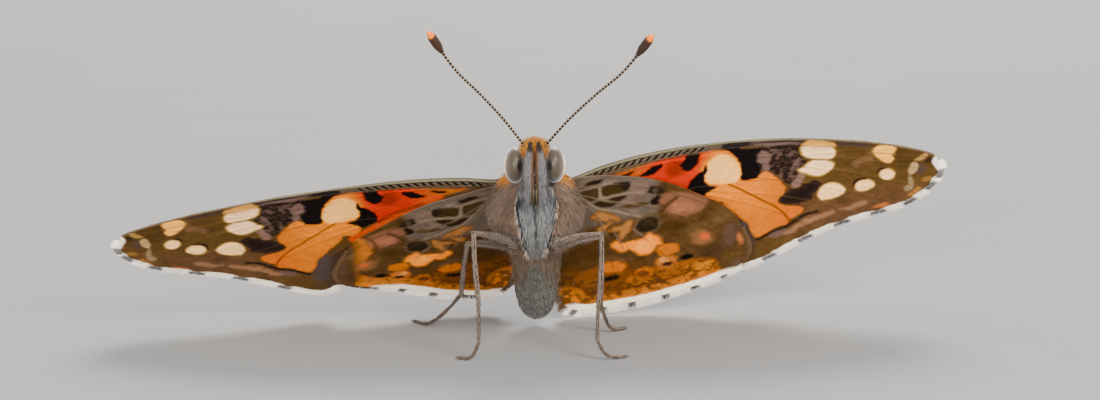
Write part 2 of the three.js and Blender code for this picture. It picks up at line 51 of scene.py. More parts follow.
# The drawing frame, in millimetres, is the CAD's moved by this much; the left eye's middle fixes it
BODY_X = 0.12
EYE_OUT, EYE_Y, EYE_Z, EYE_TILT = 1.4, 0.92, 14.08, -67
eye_low, eye_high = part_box("eye_left")
SHIFT = np.array([(eye_low[i] + eye_high[i]) / 2 / MM for i in range(3)]) - np.array([1.52, EYE_Y, EYE_Z])


# A colour is written as it should show on the screen. The usual view greys bright colours and lifts dark
# ones, so the base colour is worked out backwards from it, for the light that falls on the figure.
LIGHT = 3.0
SPREAD = np.array([(0.639, 0.224, 0.137), (0.282, 0.745, -0.027), (0.294, 0.256, 0.45)])
GATHER = np.array([(3.047, -0.644, -1.403), (-0.539, 1.457, 0.081), (-0.416, -0.406, 1.821)])


def tone(*rgb):
    c = np.array(rgb, float)
    c = SPREAD @ ((c * min(1, (232 + 4 * (1 - c.min() / c.max())) / c.max())) / 255)
    strength = -2.797 + 4.787 * c - 7.157 * c**2 + 5.402 * c**3 + 0.833 * np.log(c) - 0.692 * np.log(1 - c)
    c = np.maximum(GATHER @ np.exp(strength) / LIGHT, 0.0015)
    return c * min(1, 0.9 / c.max())


def smooth(low, high, x):
    t = np.clip((x - low) / (high - low), 0, 1)
    return t * t * (3 - 2 * t)


def mix(a, b, t):
    t = np.asarray(t)[..., None]
    return a * (1 - t) + b * t


def layered(count, ground, *layers):
    """One tint for each point: the ground colour, and each layer's colour laid over it by its mask."""
    c = np.tile(tone(*ground), (count, 1))
    for rgb, mask in layers:
        c = mix(c, tone(*rgb), mask)
    return c


# Smooth random field over a plane, about -1 to 1
LATTICE = np.random.default_rng(11).uniform(-1, 1, (64, 64))


def noise(x, y, size, seed=0):
    u = np.asarray(x) / size + 7.3 * seed
    v = np.asarray(y) / size + 3.7 * seed
    i, j = np.floor(u).astype(int), np.floor(v).astype(int)
    a, b = u - i, v - j
    a, b = a * a * (3 - 2 * a), b * b * (3 - 2 * b)
    g = lambda p, q: LATTICE[(i + p) % 64, (j + q) % 64]
    return (g(0, 0) * (1 - a) + g(1, 0) * a) * (1 - b) + (g(0, 1) * (1 - a) + g(1, 1) * a) * b


def cloud(x, y, size, seed=0):
    return (noise(x, y, size, seed) + 0.5 * noise(x, y, size / 2.1, seed + 1)
            + 0.25 * noise(x, y, size / 4.3, seed + 2)) / 1.4


# A curve through the given points
def spline(points, per=8, closed=False):
    p = np.array(points, float)
    p = np.vstack([p[-1], p, p[0], p[1]] if closed else [2 * p[0] - p[1], p, 2 * p[-1] - p[-2]])
    t = np.arange(per)[:, None] / per
    out = []
    for k in range(1, len(p) - 2):
        a, b, c, d = p[k - 1 : k + 3]
        out.append(0.5 * (2 * b + (c - a) * t + (2 * a - 5 * b + 4 * c - d) * t**2 + (3 * b - a - 3 * c + d)
                          * t**3))
    if not closed:
        out.append(p[-2][None])
    return np.vstack(out)


def evenly(points, count):
    step = np.linalg.norm(np.diff(points, axis=0), axis=1)
    s = np.concatenate([[0], np.cumsum(step)])
    w = np.linspace(0, s[-1], count)
    return np.stack([np.interp(w, s, points[:, k]) for k in range(points.shape[1])], -1)


# Distance from each point to a line of points, and how far along the line the nearest place is
def to_line(x, y, line, closed=False):
    p = np.array(line, float)
    if closed:
        p = np.vstack([p, p[0]])
    best, where, run = np.full(x.shape, 1e9), np.zeros(x.shape), 0.0
    for a, b in zip(p[:-1], p[1:]):
        d = b - a
        long = float(np.hypot(*d)) or 1e-9
        t = np.clip(((x - a[0]) * d[0] + (y - a[1]) * d[1]) / long**2, 0, 1)
        r = np.hypot(x - a[0] - t * d[0], y - a[1] - t * d[1])
        near = r < best
        best = np.where(near, r, best)
        where = np.where(near, run + t * long, where)
        run += long
    return best, where / run


def inside(x, y, line):
    p = np.array(line, float)
    odd = np.zeros(x.shape, bool)
    for (ax, ay), (bx, by) in zip(p, np.roll(p, -1, axis=0)):
        if ay != by:
            odd ^= ((ay > y) != (by > y)) & (x < (bx - ax) * (y - ay) / (by - ay) + ax)
    return odd


# Depth inside a closed shape, negative outside
def depth(x, y, line):
    d, _ = to_line(x, y, line, closed=True)
    return np.where(inside(x, y, line), d, -d)


# Corners of one tuft's or hair's patch on the OFBake map
def patch(corners):
    return np.array(corners) * MAP_PATCH - MAP_PATCH / 2


def make_mesh(name, verts, faces, colours=None, uv=None, shade=True):
    """Faces are one array of quads or triangles, or a list of such arrays."""
    groups = faces if isinstance(faces, list) else [faces]
    groups = [np.asarray(g, np.int32) for g in groups if len(g)]
    mesh = bpy.data.meshes.new(name)
    mesh.vertices.add(len(verts))
    mesh.vertices.foreach_set("co", np.asarray(verts, np.float32).ravel())
    corners = np.concatenate([g.ravel() for g in groups])
    sizes = np.concatenate([np.full(len(g), g.shape[1], np.int32) for g in groups])
    starts = np.concatenate([[0], np.cumsum(sizes)[:-1]]).astype(np.int32)
    mesh.loops.add(len(corners))
    mesh.loops.foreach_set("vertex_index", corners)
    mesh.polygons.add(len(sizes))
    mesh.polygons.foreach_set("loop_start", starts)
    mesh.polygons.foreach_set("use_smooth", np.full(len(sizes), shade))
    mesh.update(calc_edges=True)
    mesh.validate()
    if colours is not None:
        layer = mesh.color_attributes.new("tint", "FLOAT_COLOR", "POINT")
        rgba = np.ones((len(verts), 4), np.float32)
        rgba[:, :3] = np.clip(colours, 0, 1)
        layer.data.foreach_set("color", rgba.ravel())
    if uv is not None:
        layer = mesh.uv_layers.new(name="OFBake")
        layer.data.foreach_set("uv", np.asarray(uv, np.float32)[corners].ravel())
    return mesh


def piece(name, verts_mm, faces, material, nodes=(), colours=None, uv=None, shade=True):
    mesh = make_mesh(name, (np.asarray(verts_mm) + SHIFT) * MM, faces, colours, uv, shade)
    ob = bpy.data.objects.new(name, mesh)
    bpy.context.scene.collection.objects.link(ob)
    mesh.materials.append(material)
    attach(ob, "root")
    if nodes:
        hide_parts(*nodes)


# Materials: the painted tint, broken up by fine scale or hair texture, with bump
def tinted(name, rough, grain_mm, vary, bump, sheen=0.0, coat=0.0, kind="voronoi", gloss=0.15):
    mat = bpy.data.materials.new(name)
    mat.use_nodes = True
    nt = mat.node_tree
    add, link = nt.nodes.new, nt.links.new
    shader = nt.nodes["Principled BSDF"]
    tint = add("ShaderNodeAttribute")
    tint.attribute_name = "tint"
    tint.attribute_type = "GEOMETRY"
    where = add("ShaderNodeTexCoord")
    scale = add("ShaderNodeMapping")
    scale.inputs["Scale"].default_value = (1 / (grain_mm * MM),) * 3
    link(where.outputs["Object"], scale.inputs["Vector"])
    if kind == "voronoi":
        grain = add("ShaderNodeTexVoronoi")
        grain.inputs["Scale"].default_value = 1.0
        value = grain.outputs["Distance"]
        shade = add("ShaderNodeSeparateColor")
        link(grain.outputs["Color"], shade.inputs["Color"])
        speck = shade.outputs[0]
    else:
        grain = add("ShaderNodeTexNoise")
        grain.inputs["Scale"].default_value = 1.0
        grain.inputs["Detail"].default_value = 3.0
        value = speck = grain.outputs["Fac"]
    link(scale.outputs["Vector"], grain.inputs["Vector"])
    span = add("ShaderNodeMapRange")
    span.inputs["To Min"].default_value = 1 - vary
    span.inputs["To Max"].default_value = 1 + vary
    link(speck, span.inputs["Value"])
    vec = add("ShaderNodeVectorMath")
    vec.operation = "SCALE"
    link(tint.outputs["Color"], vec.inputs[0])
    link(span.outputs["Result"], vec.inputs["Scale"])
    link(vec.outputs["Vector"], shader.inputs["Base Color"])
    if bump:
        lift = add("ShaderNodeBump")
        lift.inputs["Strength"].default_value = bump
        lift.inputs["Distance"].default_value = grain_mm * MM * 0.3
        link(value, lift.inputs["Height"])
        link(lift.outputs["Normal"], shader.inputs["Normal"])
    for socket, value in (("Roughness", rough), ("Specular IOR Level", gloss), ("Sheen Weight", sheen),
                          ("Sheen Roughness", 0.4), ("Coat Weight", coat), ("Coat Roughness", 0.15)):
        shader.inputs[socket].default_value = value
    return mat


# Camera at the photo's angle: long lens, low and in front
def add_camera():
    rise, yaw, roll, far = math.radians(9.54), math.radians(-0.065), math.radians(-0.49), 291.6
    aim = np.array([1.193, 4.0, 11.012]) + SHIFT
    back = np.array([math.sin(yaw) * math.cos(rise), -math.cos(yaw) * math.cos(rise), math.sin(rise)])
    right = np.cross(-back, [0, 0, 1])
    right /= np.linalg.norm(right)
    up = np.cross(right, -back)
    across = math.cos(roll) * right + math.sin(roll) * up
    above = -math.sin(roll) * right + math.cos(roll) * up
    place = (aim + back * far) * MM
    cam = bpy.data.objects.new("camera", bpy.data.cameras.new("camera"))
    cam.data.lens = 131.84
    cam.data.sensor_width = 36
    cam.data.clip_start = 0.01
    cam.data.clip_end = 20
    cam.matrix_world = Matrix([[*(float(c[i]) for c in (across, above, back)), float(place[i])] for i
                               in range(3)]
                              + [[0, 0, 0, 1]])
    bpy.context.scene.collection.objects.link(cam)
    bpy.context.scene.camera = cam


# Where the three lamps point
AIM = Vector((0, 0, 0.01))


def add_studio():
    size, deep = 1.6, 2.4
    mesh = make_mesh("floor", np.array([[-size, -size, 0], [size, -size, 0], [size, deep, 0],
                                        [-size, deep, 0]]), np.array([[0, 1, 2, 3]]), shade=False)
    floor = bpy.data.objects.new("floor", mesh)
    bpy.context.scene.collection.objects.link(floor)
    mat = bpy.data.materials.new("floor_paper")
    mat.use_nodes = True
    nt = mat.node_tree
    shader = nt.nodes["Principled BSDF"]
    where = nt.nodes.new("ShaderNodeTexCoord")
    grain = nt.nodes.new("ShaderNodeTexNoise")
    grain.inputs["Scale"].default_value = 60
    ramp = nt.nodes.new("ShaderNodeValToRGB")
    ramp.color_ramp.elements[0].color = (0.19, 0.187, 0.182, 1)
    ramp.color_ramp.elements[1].color = (0.21, 0.207, 0.202, 1)
    nt.links.new(where.outputs["Object"], grain.inputs["Vector"])
    nt.links.new(grain.outputs["Fac"], ramp.inputs["Fac"])
    nt.links.new(ramp.outputs["Color"], shader.inputs["Base Color"])
    shader.inputs["Roughness"].default_value = 0.9
    mesh.materials.append(mat)
    world = bpy.data.worlds.new("studio")
    world.use_nodes = True
    world.node_tree.nodes["Background"].inputs["Color"].default_value = (0.93, 0.95, 1.0, 1)
    world.node_tree.nodes["Background"].inputs["Strength"].default_value = 1.0
    bpy.context.scene.world = world
    for name, place, width, power, colour in [
        ("key", (0.22, -0.42, 0.30), 0.20, 7.0, (1.0, 0.97, 0.92)),
        ("front", (-0.12, -0.60, 0.07), 0.34, 9.0, (1.0, 0.99, 0.98)),
        ("rim", (0.05, 0.40, 0.35), 0.25, 5.0, (1.0, 0.98, 0.94)),
    ]:
        lamp = bpy.data.objects.new(name, bpy.data.lights.new(name, "AREA"))
        lamp.data.shape = "DISK"
        lamp.data.size = width
        lamp.data.energy = power
        lamp.data.color = colour
        lamp.location = place
        lamp.rotation_euler = (AIM - Vector(place)).to_track_quat("-Z", "Y").to_euler()
        bpy.context.scene.collection.objects.link(lamp)


add_camera()
add_studio()


# Wings. Plan: x runs from root to tip, y forward, in millimetres
# Pose of each side's wings: dihedral, pitch, the forewing's sweep, and how far it bends down
POSE = {1: (14.67, 48.33, 9.96, 1.15), -1: (-5.47, 39.81, 11.21, -1.0)}
ROOT = np.array([2.9, 6.2, 11.7])


def wing_place(x, y, side, fore, level):
    dihedral, pitch, sweep, camber = POSE[side]
    t = math.radians(sweep if fore else 0)
    u = x * math.cos(t) + y * math.sin(t)
    v = -x * math.sin(t) + y * math.cos(t)
    z = level - camber * (np.maximum(u, 0) / 25) ** 2
    a, b = math.radians(-dihedral), math.radians(-pitch)
    px, py, pz = u * math.cos(a) + z * math.sin(a), -v, -u * math.sin(a) + z * math.cos(a)
    qy, qz = py * math.cos(b) - pz * math.sin(b), py * math.sin(b) + pz * math.cos(b)
    return np.stack([px * side, qy, qz], -1) + ROOT * [side, 1, 1]


# The plan laid out on the OFBake map
def plan_spot(x, y, shift=0.0):
    return np.stack([(x + 1.7) / 31.0, 0.5 * (y + 15.3) / 20 + shift], -1)


FORE_FRONT = [
    (-1.3, 0.5), (0, 0.95), (2, 1.9), (4.5, 2.7), (8, 3.35), (12, 3.65), (16, 3.6), (20, 3.2), (24, 2.5),
    (27, 1.6), (28.4, 0.65), (29, -0.5), (28.9, -1.7),
]
FORE_BACK = [
    (21, -7.6), (19.3, -8.8), (17.8, -10.1), (16.6, -11.0), (15.4, -11.4), (14, -10.8), (11, -8.7), (7, -5.9),
    (3, -3), (0.3, -1.3), (-1.3, -0.9),
]
FORE_EDGE = {
    1: FORE_FRONT + [(28.45, -2.9), (27.6, -4.1), (26.5, -5.0), (25.0, -5.65), (23.4, -6.3)] + FORE_BACK,
    -1: FORE_FRONT + [(28.25, -2.95), (27.2, -4.0), (26, -4.85), (24.5, -5.6), (22.8, -6.5)] + FORE_BACK,
}
HIND_EDGE = {
    1: [
        (-1.1, 0.9), (0.8, 1.3), (3.8, 0.4), (6.9, -1.2), (9.4, -3.2), (11.5, -5.2), (13.1, -7.9),
        (13.8, -10.2), (13.65, -11.9), (12.85, -13.15), (11.4, -14.0), (9.4, -14.6), (7.6, -14.9),
        (5.8, -15.1), (3.8, -15.1), (2.2, -15.0), (0.5, -14.8), (-0.8, -14.1), (-1.35, -12.7), (-1.4, -9),
        (-1.4, -5), (-1.4, -2.4), (-1.5, -0.9),
    ],
    -1: [
        (-1.1, 0.7), (0.6, 0.6), (2.6, -0.2), (4.6, -0.9), (6.4, -2.0), (8.25, -3.4), (10.1, -4.9),
        (11.3, -6.6), (12.1, -8.4), (12.5, -10.2), (12.1, -11.6), (10.8, -12.5), (9.2, -12.95), (7.4, -13.4),
        (5.2, -14.3), (3.6, -14.9), (1.4, -15.3), (-0.1, -15.0), (-1.0, -14.1), (-1.35, -12.5), (-1.4, -9),
        (-1.4, -5), (-1.4, -2.4), (-1.5, -0.9),
    ],
}
# Where the white fringe breaks off, on the outer margin
FORE_NOTCH = {
    1: [(28.95, -0.95), (28.55, -2.5), (27.3, -4.4), (25.0, -5.65), (22.4, -6.75), (19.9, -8.4),
        (17.5, -10.4)],
    -1: [(29, -1.0), (28.6, -2.3), (26.9, -4.2), (24.1, -5.8), (21.2, -7.45), (18.4, -9.6)],
}
HIND_NOTCH = {
    1: [(13.35, -12.5), (11.75, -13.9), (9.4, -14.6), (7.1, -15.0), (4.4, -15.1), (2.1, -15.0),
        (-0.3, -14.5)],
    -1: [(9.3, -12.9), (7.25, -13.45), (4.95, -14.4), (2.4, -15.15), (2.0, -15.2), (-0.6, -14.6)],
}


# The right hindwing is drawn back further than the left one: its veins and markings lie lower on it
def slid(point):
    u, v = point
    f = float(smooth(-1.5, 2.5, u))
    return ((u + 0.9 * float(smooth(-14.5, -10.5, v)) * f) / 1.091, v - 1.5 * min(1, max(0, (v + 13.2) / 10))
            * f)


def slid_back(x, y):
    u, v = 1.091 * x, y
    for _ in range(5):
        f = smooth(-1.5, 2.5, u)
        v = y + 1.5 * np.clip((v + 13.2) / 10, 0, 1) * f
        u = 1.091 * x - 0.9 * smooth(-14.5, -10.5, v) * f
    return u, v


FORE_VEINS = [
    [(-1.3, 0.35), (6.5, 2.6), (11, 3.2), (15.5, 3.62)],
    [(8.6, 1.95), (12, 2.5), (15.5, 3.0), (19, 3.33)],
    [(11.4, 1.97), (15, 2.3), (18.5, 2.65), (22, 2.87)],
    [(16.5, 1.6), (19.5, 1.85), (22.5, 2.05), (25.3, 2.15)],
    [(22, 0.95), (24, 1.15), (26, 1.2), (27.8, 1.1)],
    [(-1.3, 0.1), (6.2, 1.7), (12.6, 1.95), (22, 0.9), (29, -0.8)],
    [(12.7, 1.35), (18, 0.35), (23.5, -1.1), (28.35, -2.7)],
    [(12.85, -0.2), (17.5, -1.3), (22.5, -2.9), (26.6, -4.45)],
    [(-1.3, -0.25), (6.2, -1.35), (12.9, -2.1), (19.4, -3.7), (24.1, -5.8)],
    [(8.9, -1.7), (13.2, -3.1), (17.6, -5.2), (21.3, -7.4)],
    [(5.3, -1.25), (10, -3.4), (14.5, -6.4), (18.4, -9.6)],
    [(-1.3, -0.6), (6.5, -4.3), (15.6, -11.4)],
]
FORE_CELL = [(12.55, 1.95), (12.45, 0.6), (12.5, -0.8), (12.9, -2.1)]
HIND_VEINS = [
    [(-1.1, 0.5), (4.2, -0.7), (9.6, -4.1), (13.45, -9.2)],
    [(2.0, -1.75), (6.6, -4.1), (10.6, -7.8), (12.9, -12.0)],
    [(-1.2, 0.15), (2.0, -1.75), (5.3, -4.9), (8.6, -9.5), (11.1, -13.25)],
    [(4.35, -5.6), (6.4, -8.7), (8.0, -11.5), (9.0, -14.0)],
    [(-1.3, -0.2), (1.2, -2.6), (3.4, -6.3), (5.3, -10.8), (6.9, -14.45)],
    [(2.9, -5.5), (4.0, -8.6), (4.6, -11.6), (4.8, -14.6)],
    [(1.7, -3.4), (2.6, -7), (2.9, -10.8), (2.7, -14.5)],
    [(-1.4, -0.5), (-0.2, -5.6), (0.5, -9.8), (0.7, -14.0)],
]
HIND_CELL = [(5.3, -4.9), (4.5, -5.4), (3.4, -6.3)]


class Paint:
    """Tints for points of a wing's plan, laid one shape over another."""

    def __init__(self, x, y, ground):
        self.x, self.y = x, y
        self.c = np.tile(tone(*ground), (len(x), 1))

    def lay(self, mask, rgb):
        colour = rgb if isinstance(rgb, np.ndarray) else tone(*rgb)
        self.c = mix(self.c, colour, mask)

    def shape(self, points, rgb, edge=0.07, ragged=0.07, seed=0, amount=1.0, grow=0.0):
        line = spline(points, 4, closed=True)
        (x0, y0), (x1, y1) = line.min(0) - 0.7, line.max(0) + 0.7
        near = (self.x > x0) & (self.x < x1) & (self.y > y0) & (self.y < y1)
        x, y = self.x[near], self.y[near]
        d = depth(x, y, line) + grow + ragged * cloud(x, y, 0.3, seed)
        colour = rgb[near] if isinstance(rgb, np.ndarray) and rgb.ndim == 2 else tone(*rgb)
        self.c[near] = mix(self.c[near], colour, amount * smooth(-edge, edge, d))

    def oval(self, cx, cy, rx, ry, rgb, turn=0.0, edge=0.07, ragged=0.06, seed=0, amount=1.0):
        t = math.radians(turn)
        u = ((self.x - cx) * math.cos(t) + (self.y - cy) * math.sin(t)) / rx
        v = (-(self.x - cx) * math.sin(t) + (self.y - cy) * math.cos(t)) / ry
        size = min(rx, ry)
        d = (1 - np.hypot(u, v)) * size + ragged * cloud(self.x, self.y, 0.3, seed)
        self.lay(amount * smooth(-edge, edge, d), rgb)

    def line(self, points, rgb, width, edge=0.05, amount=1.0, fade=None):
        line = spline(points, 6)
        (x0, y0), (x1, y1) = line.min(0) - 0.5 - width, line.max(0) + 0.5 + width
        near = (self.x > x0) & (self.x < x1) & (self.y > y0) & (self.y < y1)
        d, t = to_line(self.x[near], self.y[near], line)
        mask = amount * (1 - smooth(width / 2 - edge / 2, width / 2 + edge, d))
        if fade:
            mask = mask * smooth(*fade, t)
        self.c[near] = mix(self.c[near], tone(*rgb), mask)


FORE_COSTA = spline(FORE_EDGE[1], 6)[: 11 * 6]

# Shapes shared by both faces of a forewing
CELL_FIELD = [
    (1.8, 0.5), (3.0, 0.9), (4.8, 1.55), (6.3, 2.1), (8.1, 2.5), (9.6, 2.8), (10.9, 2.7), (11.45, 2.35),
    (10.4, 1.2), (10.0, 0.5), (9.85, -0.5), (9.3, -1.6), (8.9, -1.95), (7.9, -1.6), (6.4, -0.85),
    (5.5, -0.25), (4.5, 0.05), (2.8, 0.3),
]
CREAM = [
    (10.0, 0.7), (10.05, 1.25), (10.25, 1.8), (10.6, 2.2), (11.1, 2.3), (11.75, 2.0), (12.3, 1.4),
    (12.7, 0.65), (12.9, 0.1), (12.9, -0.6), (12.7, -1.05), (12.15, -1.15), (11.4, -1.15), (10.7, -0.95),
    (10.2, -0.45),
]
BAR = [
    (10.7, 3.3), (11.2, 3.35), (12.0, 3.1), (12.35, 2.75), (13.1, 2.7), (13.8, 2.7), (13.9, 1.9), (14.0, 1.1),
    (14.3, 0.4), (14.35, -0.15), (14.15, -0.65), (13.65, -0.85), (13.05, -0.7), (12.85, 0.3), (12.6, 1.1),
    (12.15, 1.85), (11.65, 2.45), (11.25, 2.8), (10.85, 2.9),
]
MARBLE = [
    (13.75, 2.7), (14.6, 2.8), (16.05, 3.1), (16.8, 3.3), (17.1, 2.9), (17.0, 2.25), (17.4, 1.4),
    (17.75, 0.95), (17.45, 0.3), (17.35, -0.3), (17.4, -1.2), (17.1, -1.6), (16.4, -0.9), (15.9, -0.4),
    (15.15, 0.1), (14.7, 0.4), (14.3, 0.4), (13.95, 1.35),
]
ORANGE = [
    (10.6, -2.55), (10.65, -2.2), (11.0, -1.8), (11.45, -1.5), (11.85, -1.2), (12.45, -1.05), (13.0, -0.85),
    (13.65, -0.85), (14.25, -0.7), (14.45, -0.3), (14.8, 0.0), (15.25, -0.25), (15.8, -0.75), (16.3, -1.25),
    (16.75, -1.85), (16.8, -2.5), (16.6, -3.1), (16.6, -3.65), (17.15, -4.0), (17.8, -4.15), (18.45, -4.3),
    (18.75, -4.55), (18.7, -5.0), (18.3, -5.45), (17.9, -5.85), (17.8, -6.35), (17.2, -6.5), (16.8, -6.85),
    (16.45, -7.3), (16.05, -7.65), (15.55, -7.55), (15.1, -6.9), (14.75, -6.05), (14.15, -5.45),
    (13.45, -4.7), (12.8, -4.1), (12.35, -3.65), (12.1, -3.15), (11.65, -3.25), (11.4, -3.5), (10.95, -3.25),
]
DARK_PATCH = [
    (16.6, -3.3), (16.9, -2.75), (17.25, -2.35), (17.75, -2.15), (18.3, -1.7), (18.6, -1.4), (19.25, -1.45),
    (19.6, -1.7), (19.35, -2.25), (19.15, -2.8), (19.05, -3.4), (18.65, -3.7), (18.0, -3.9), (17.3, -3.9),
    (16.8, -3.8),
]
SPOT_BAR = [
    [(17.1, 2.65), (17.7, 2.6), (18.5, 2.6), (19.2, 2.5), (19.65, 2.2), (19.85, 1.6), (19.7, 1.2),
     (19.3, 1.05), (18.65, 1.15), (17.85, 1.4), (17.4, 1.7), (17.1, 2.2)],
    [(17.45, -0.05), (17.75, 0.3), (18.0, 0.75), (18.3, 1.0), (18.9, 1.0), (19.5, 0.85), (20.0, 0.5),
     (19.95, 0.0), (19.6, -0.5), (19.2, -0.75), (18.7, -0.7), (18.05, -0.4), (17.65, -0.25)],
]
SPOT_TOP = [(17.15, 2.7), (17.15, 3.15), (17.75, 3.35), (18.6, 3.2), (19.5, 2.9), (19.6, 2.45)]
SPOT_NEAR = [
    (22.75, 1.95), (23.05, 2.4), (23.5, 2.5), (24.1, 2.4), (24.45, 2.1), (24.4, 1.6), (24.3, 1.3),
    (24.55, 0.9), (24.4, 0.5), (24.1, 0.5), (23.6, 0.85), (23.1, 1.35),
]
SPOT_SMALL = [(23.95, -0.9), (24.0, -0.5), (24.4, -0.3), (24.8, -0.5), (25.1, -0.95), (25.0, -1.35),
              (24.65, -1.5), (24.2, -1.3)]
SPOT_MID = [
    (22.35, -2.25), (22.4, -1.8), (22.7, -1.55), (23.2, -1.5), (23.65, -1.8), (23.75, -2.25), (23.4, -2.65),
    (23.0, -2.75), (22.55, -2.6),
]
SPOT_BIG = [
    (19.55, -2.9), (19.6, -2.2), (19.9, -1.85), (20.4, -1.7), (20.95, -1.9), (21.45, -2.35), (21.6, -2.65),
    (21.4, -3.05), (20.95, -3.35), (20.4, -3.55), (19.9, -3.5),
]
BLACKS = [
    [(3.45, 0.65), (3.95, 0.9), (4.4, 1.05), (4.15, 0.7), (3.6, 0.5)],
    [(5.0, 0.5), (5.5, 1.05), (5.8, 1.4), (6.15, 1.55), (6.4, 1.65), (6.55, 1.35), (6.3, 1.0), (6.1, 0.65),
     (5.6, 0.5)],
    [(8.2, 1.0), (8.0, 1.35), (8.2, 1.9), (8.25, 2.45), (8.65, 2.5), (9.1, 2.6), (9.25, 2.2), (9.25, 1.65),
     (9.15, 1.1), (8.75, 0.7), (8.3, 0.75)],
    [(9.15, -1.6), (9.1, -0.6), (9.3, -0.15), (9.7, 0.3), (9.95, 0.65), (10.0, 1.05), (10.2, 0.45),
     (10.1, -0.2), (10.4, -0.95), (10.95, -1.35), (11.2, -1.5), (10.75, -1.75), (10.55, -2.1), (10.4, -2.4),
     (9.75, -2.0)],
]


def white_rim(p, x, y, rim, notches, deep, gap, white):
    """The white of the fringe, scalloped, on the outer strip of the membrane."""
    near = np.min([np.hypot(x - a, y - b) for a, b in notches], axis=0)
    full = smooth(gap * 0.6, gap * 2.0, near)
    line = deep * (0.72 + 0.28 * full) + 0.05 * cloud(x, y, 0.25, 61)
    edge = smooth(line + 0.07, line - 0.07, rim)
    p.lay(edge * white, (236, 234, 228))
    p.lay(smooth(line + 0.35, line - 0.1, rim) * smooth(gap * 1.5, gap * 0.6, near) * (0.2 + 0.8 * white),
          (78, 68, 70))


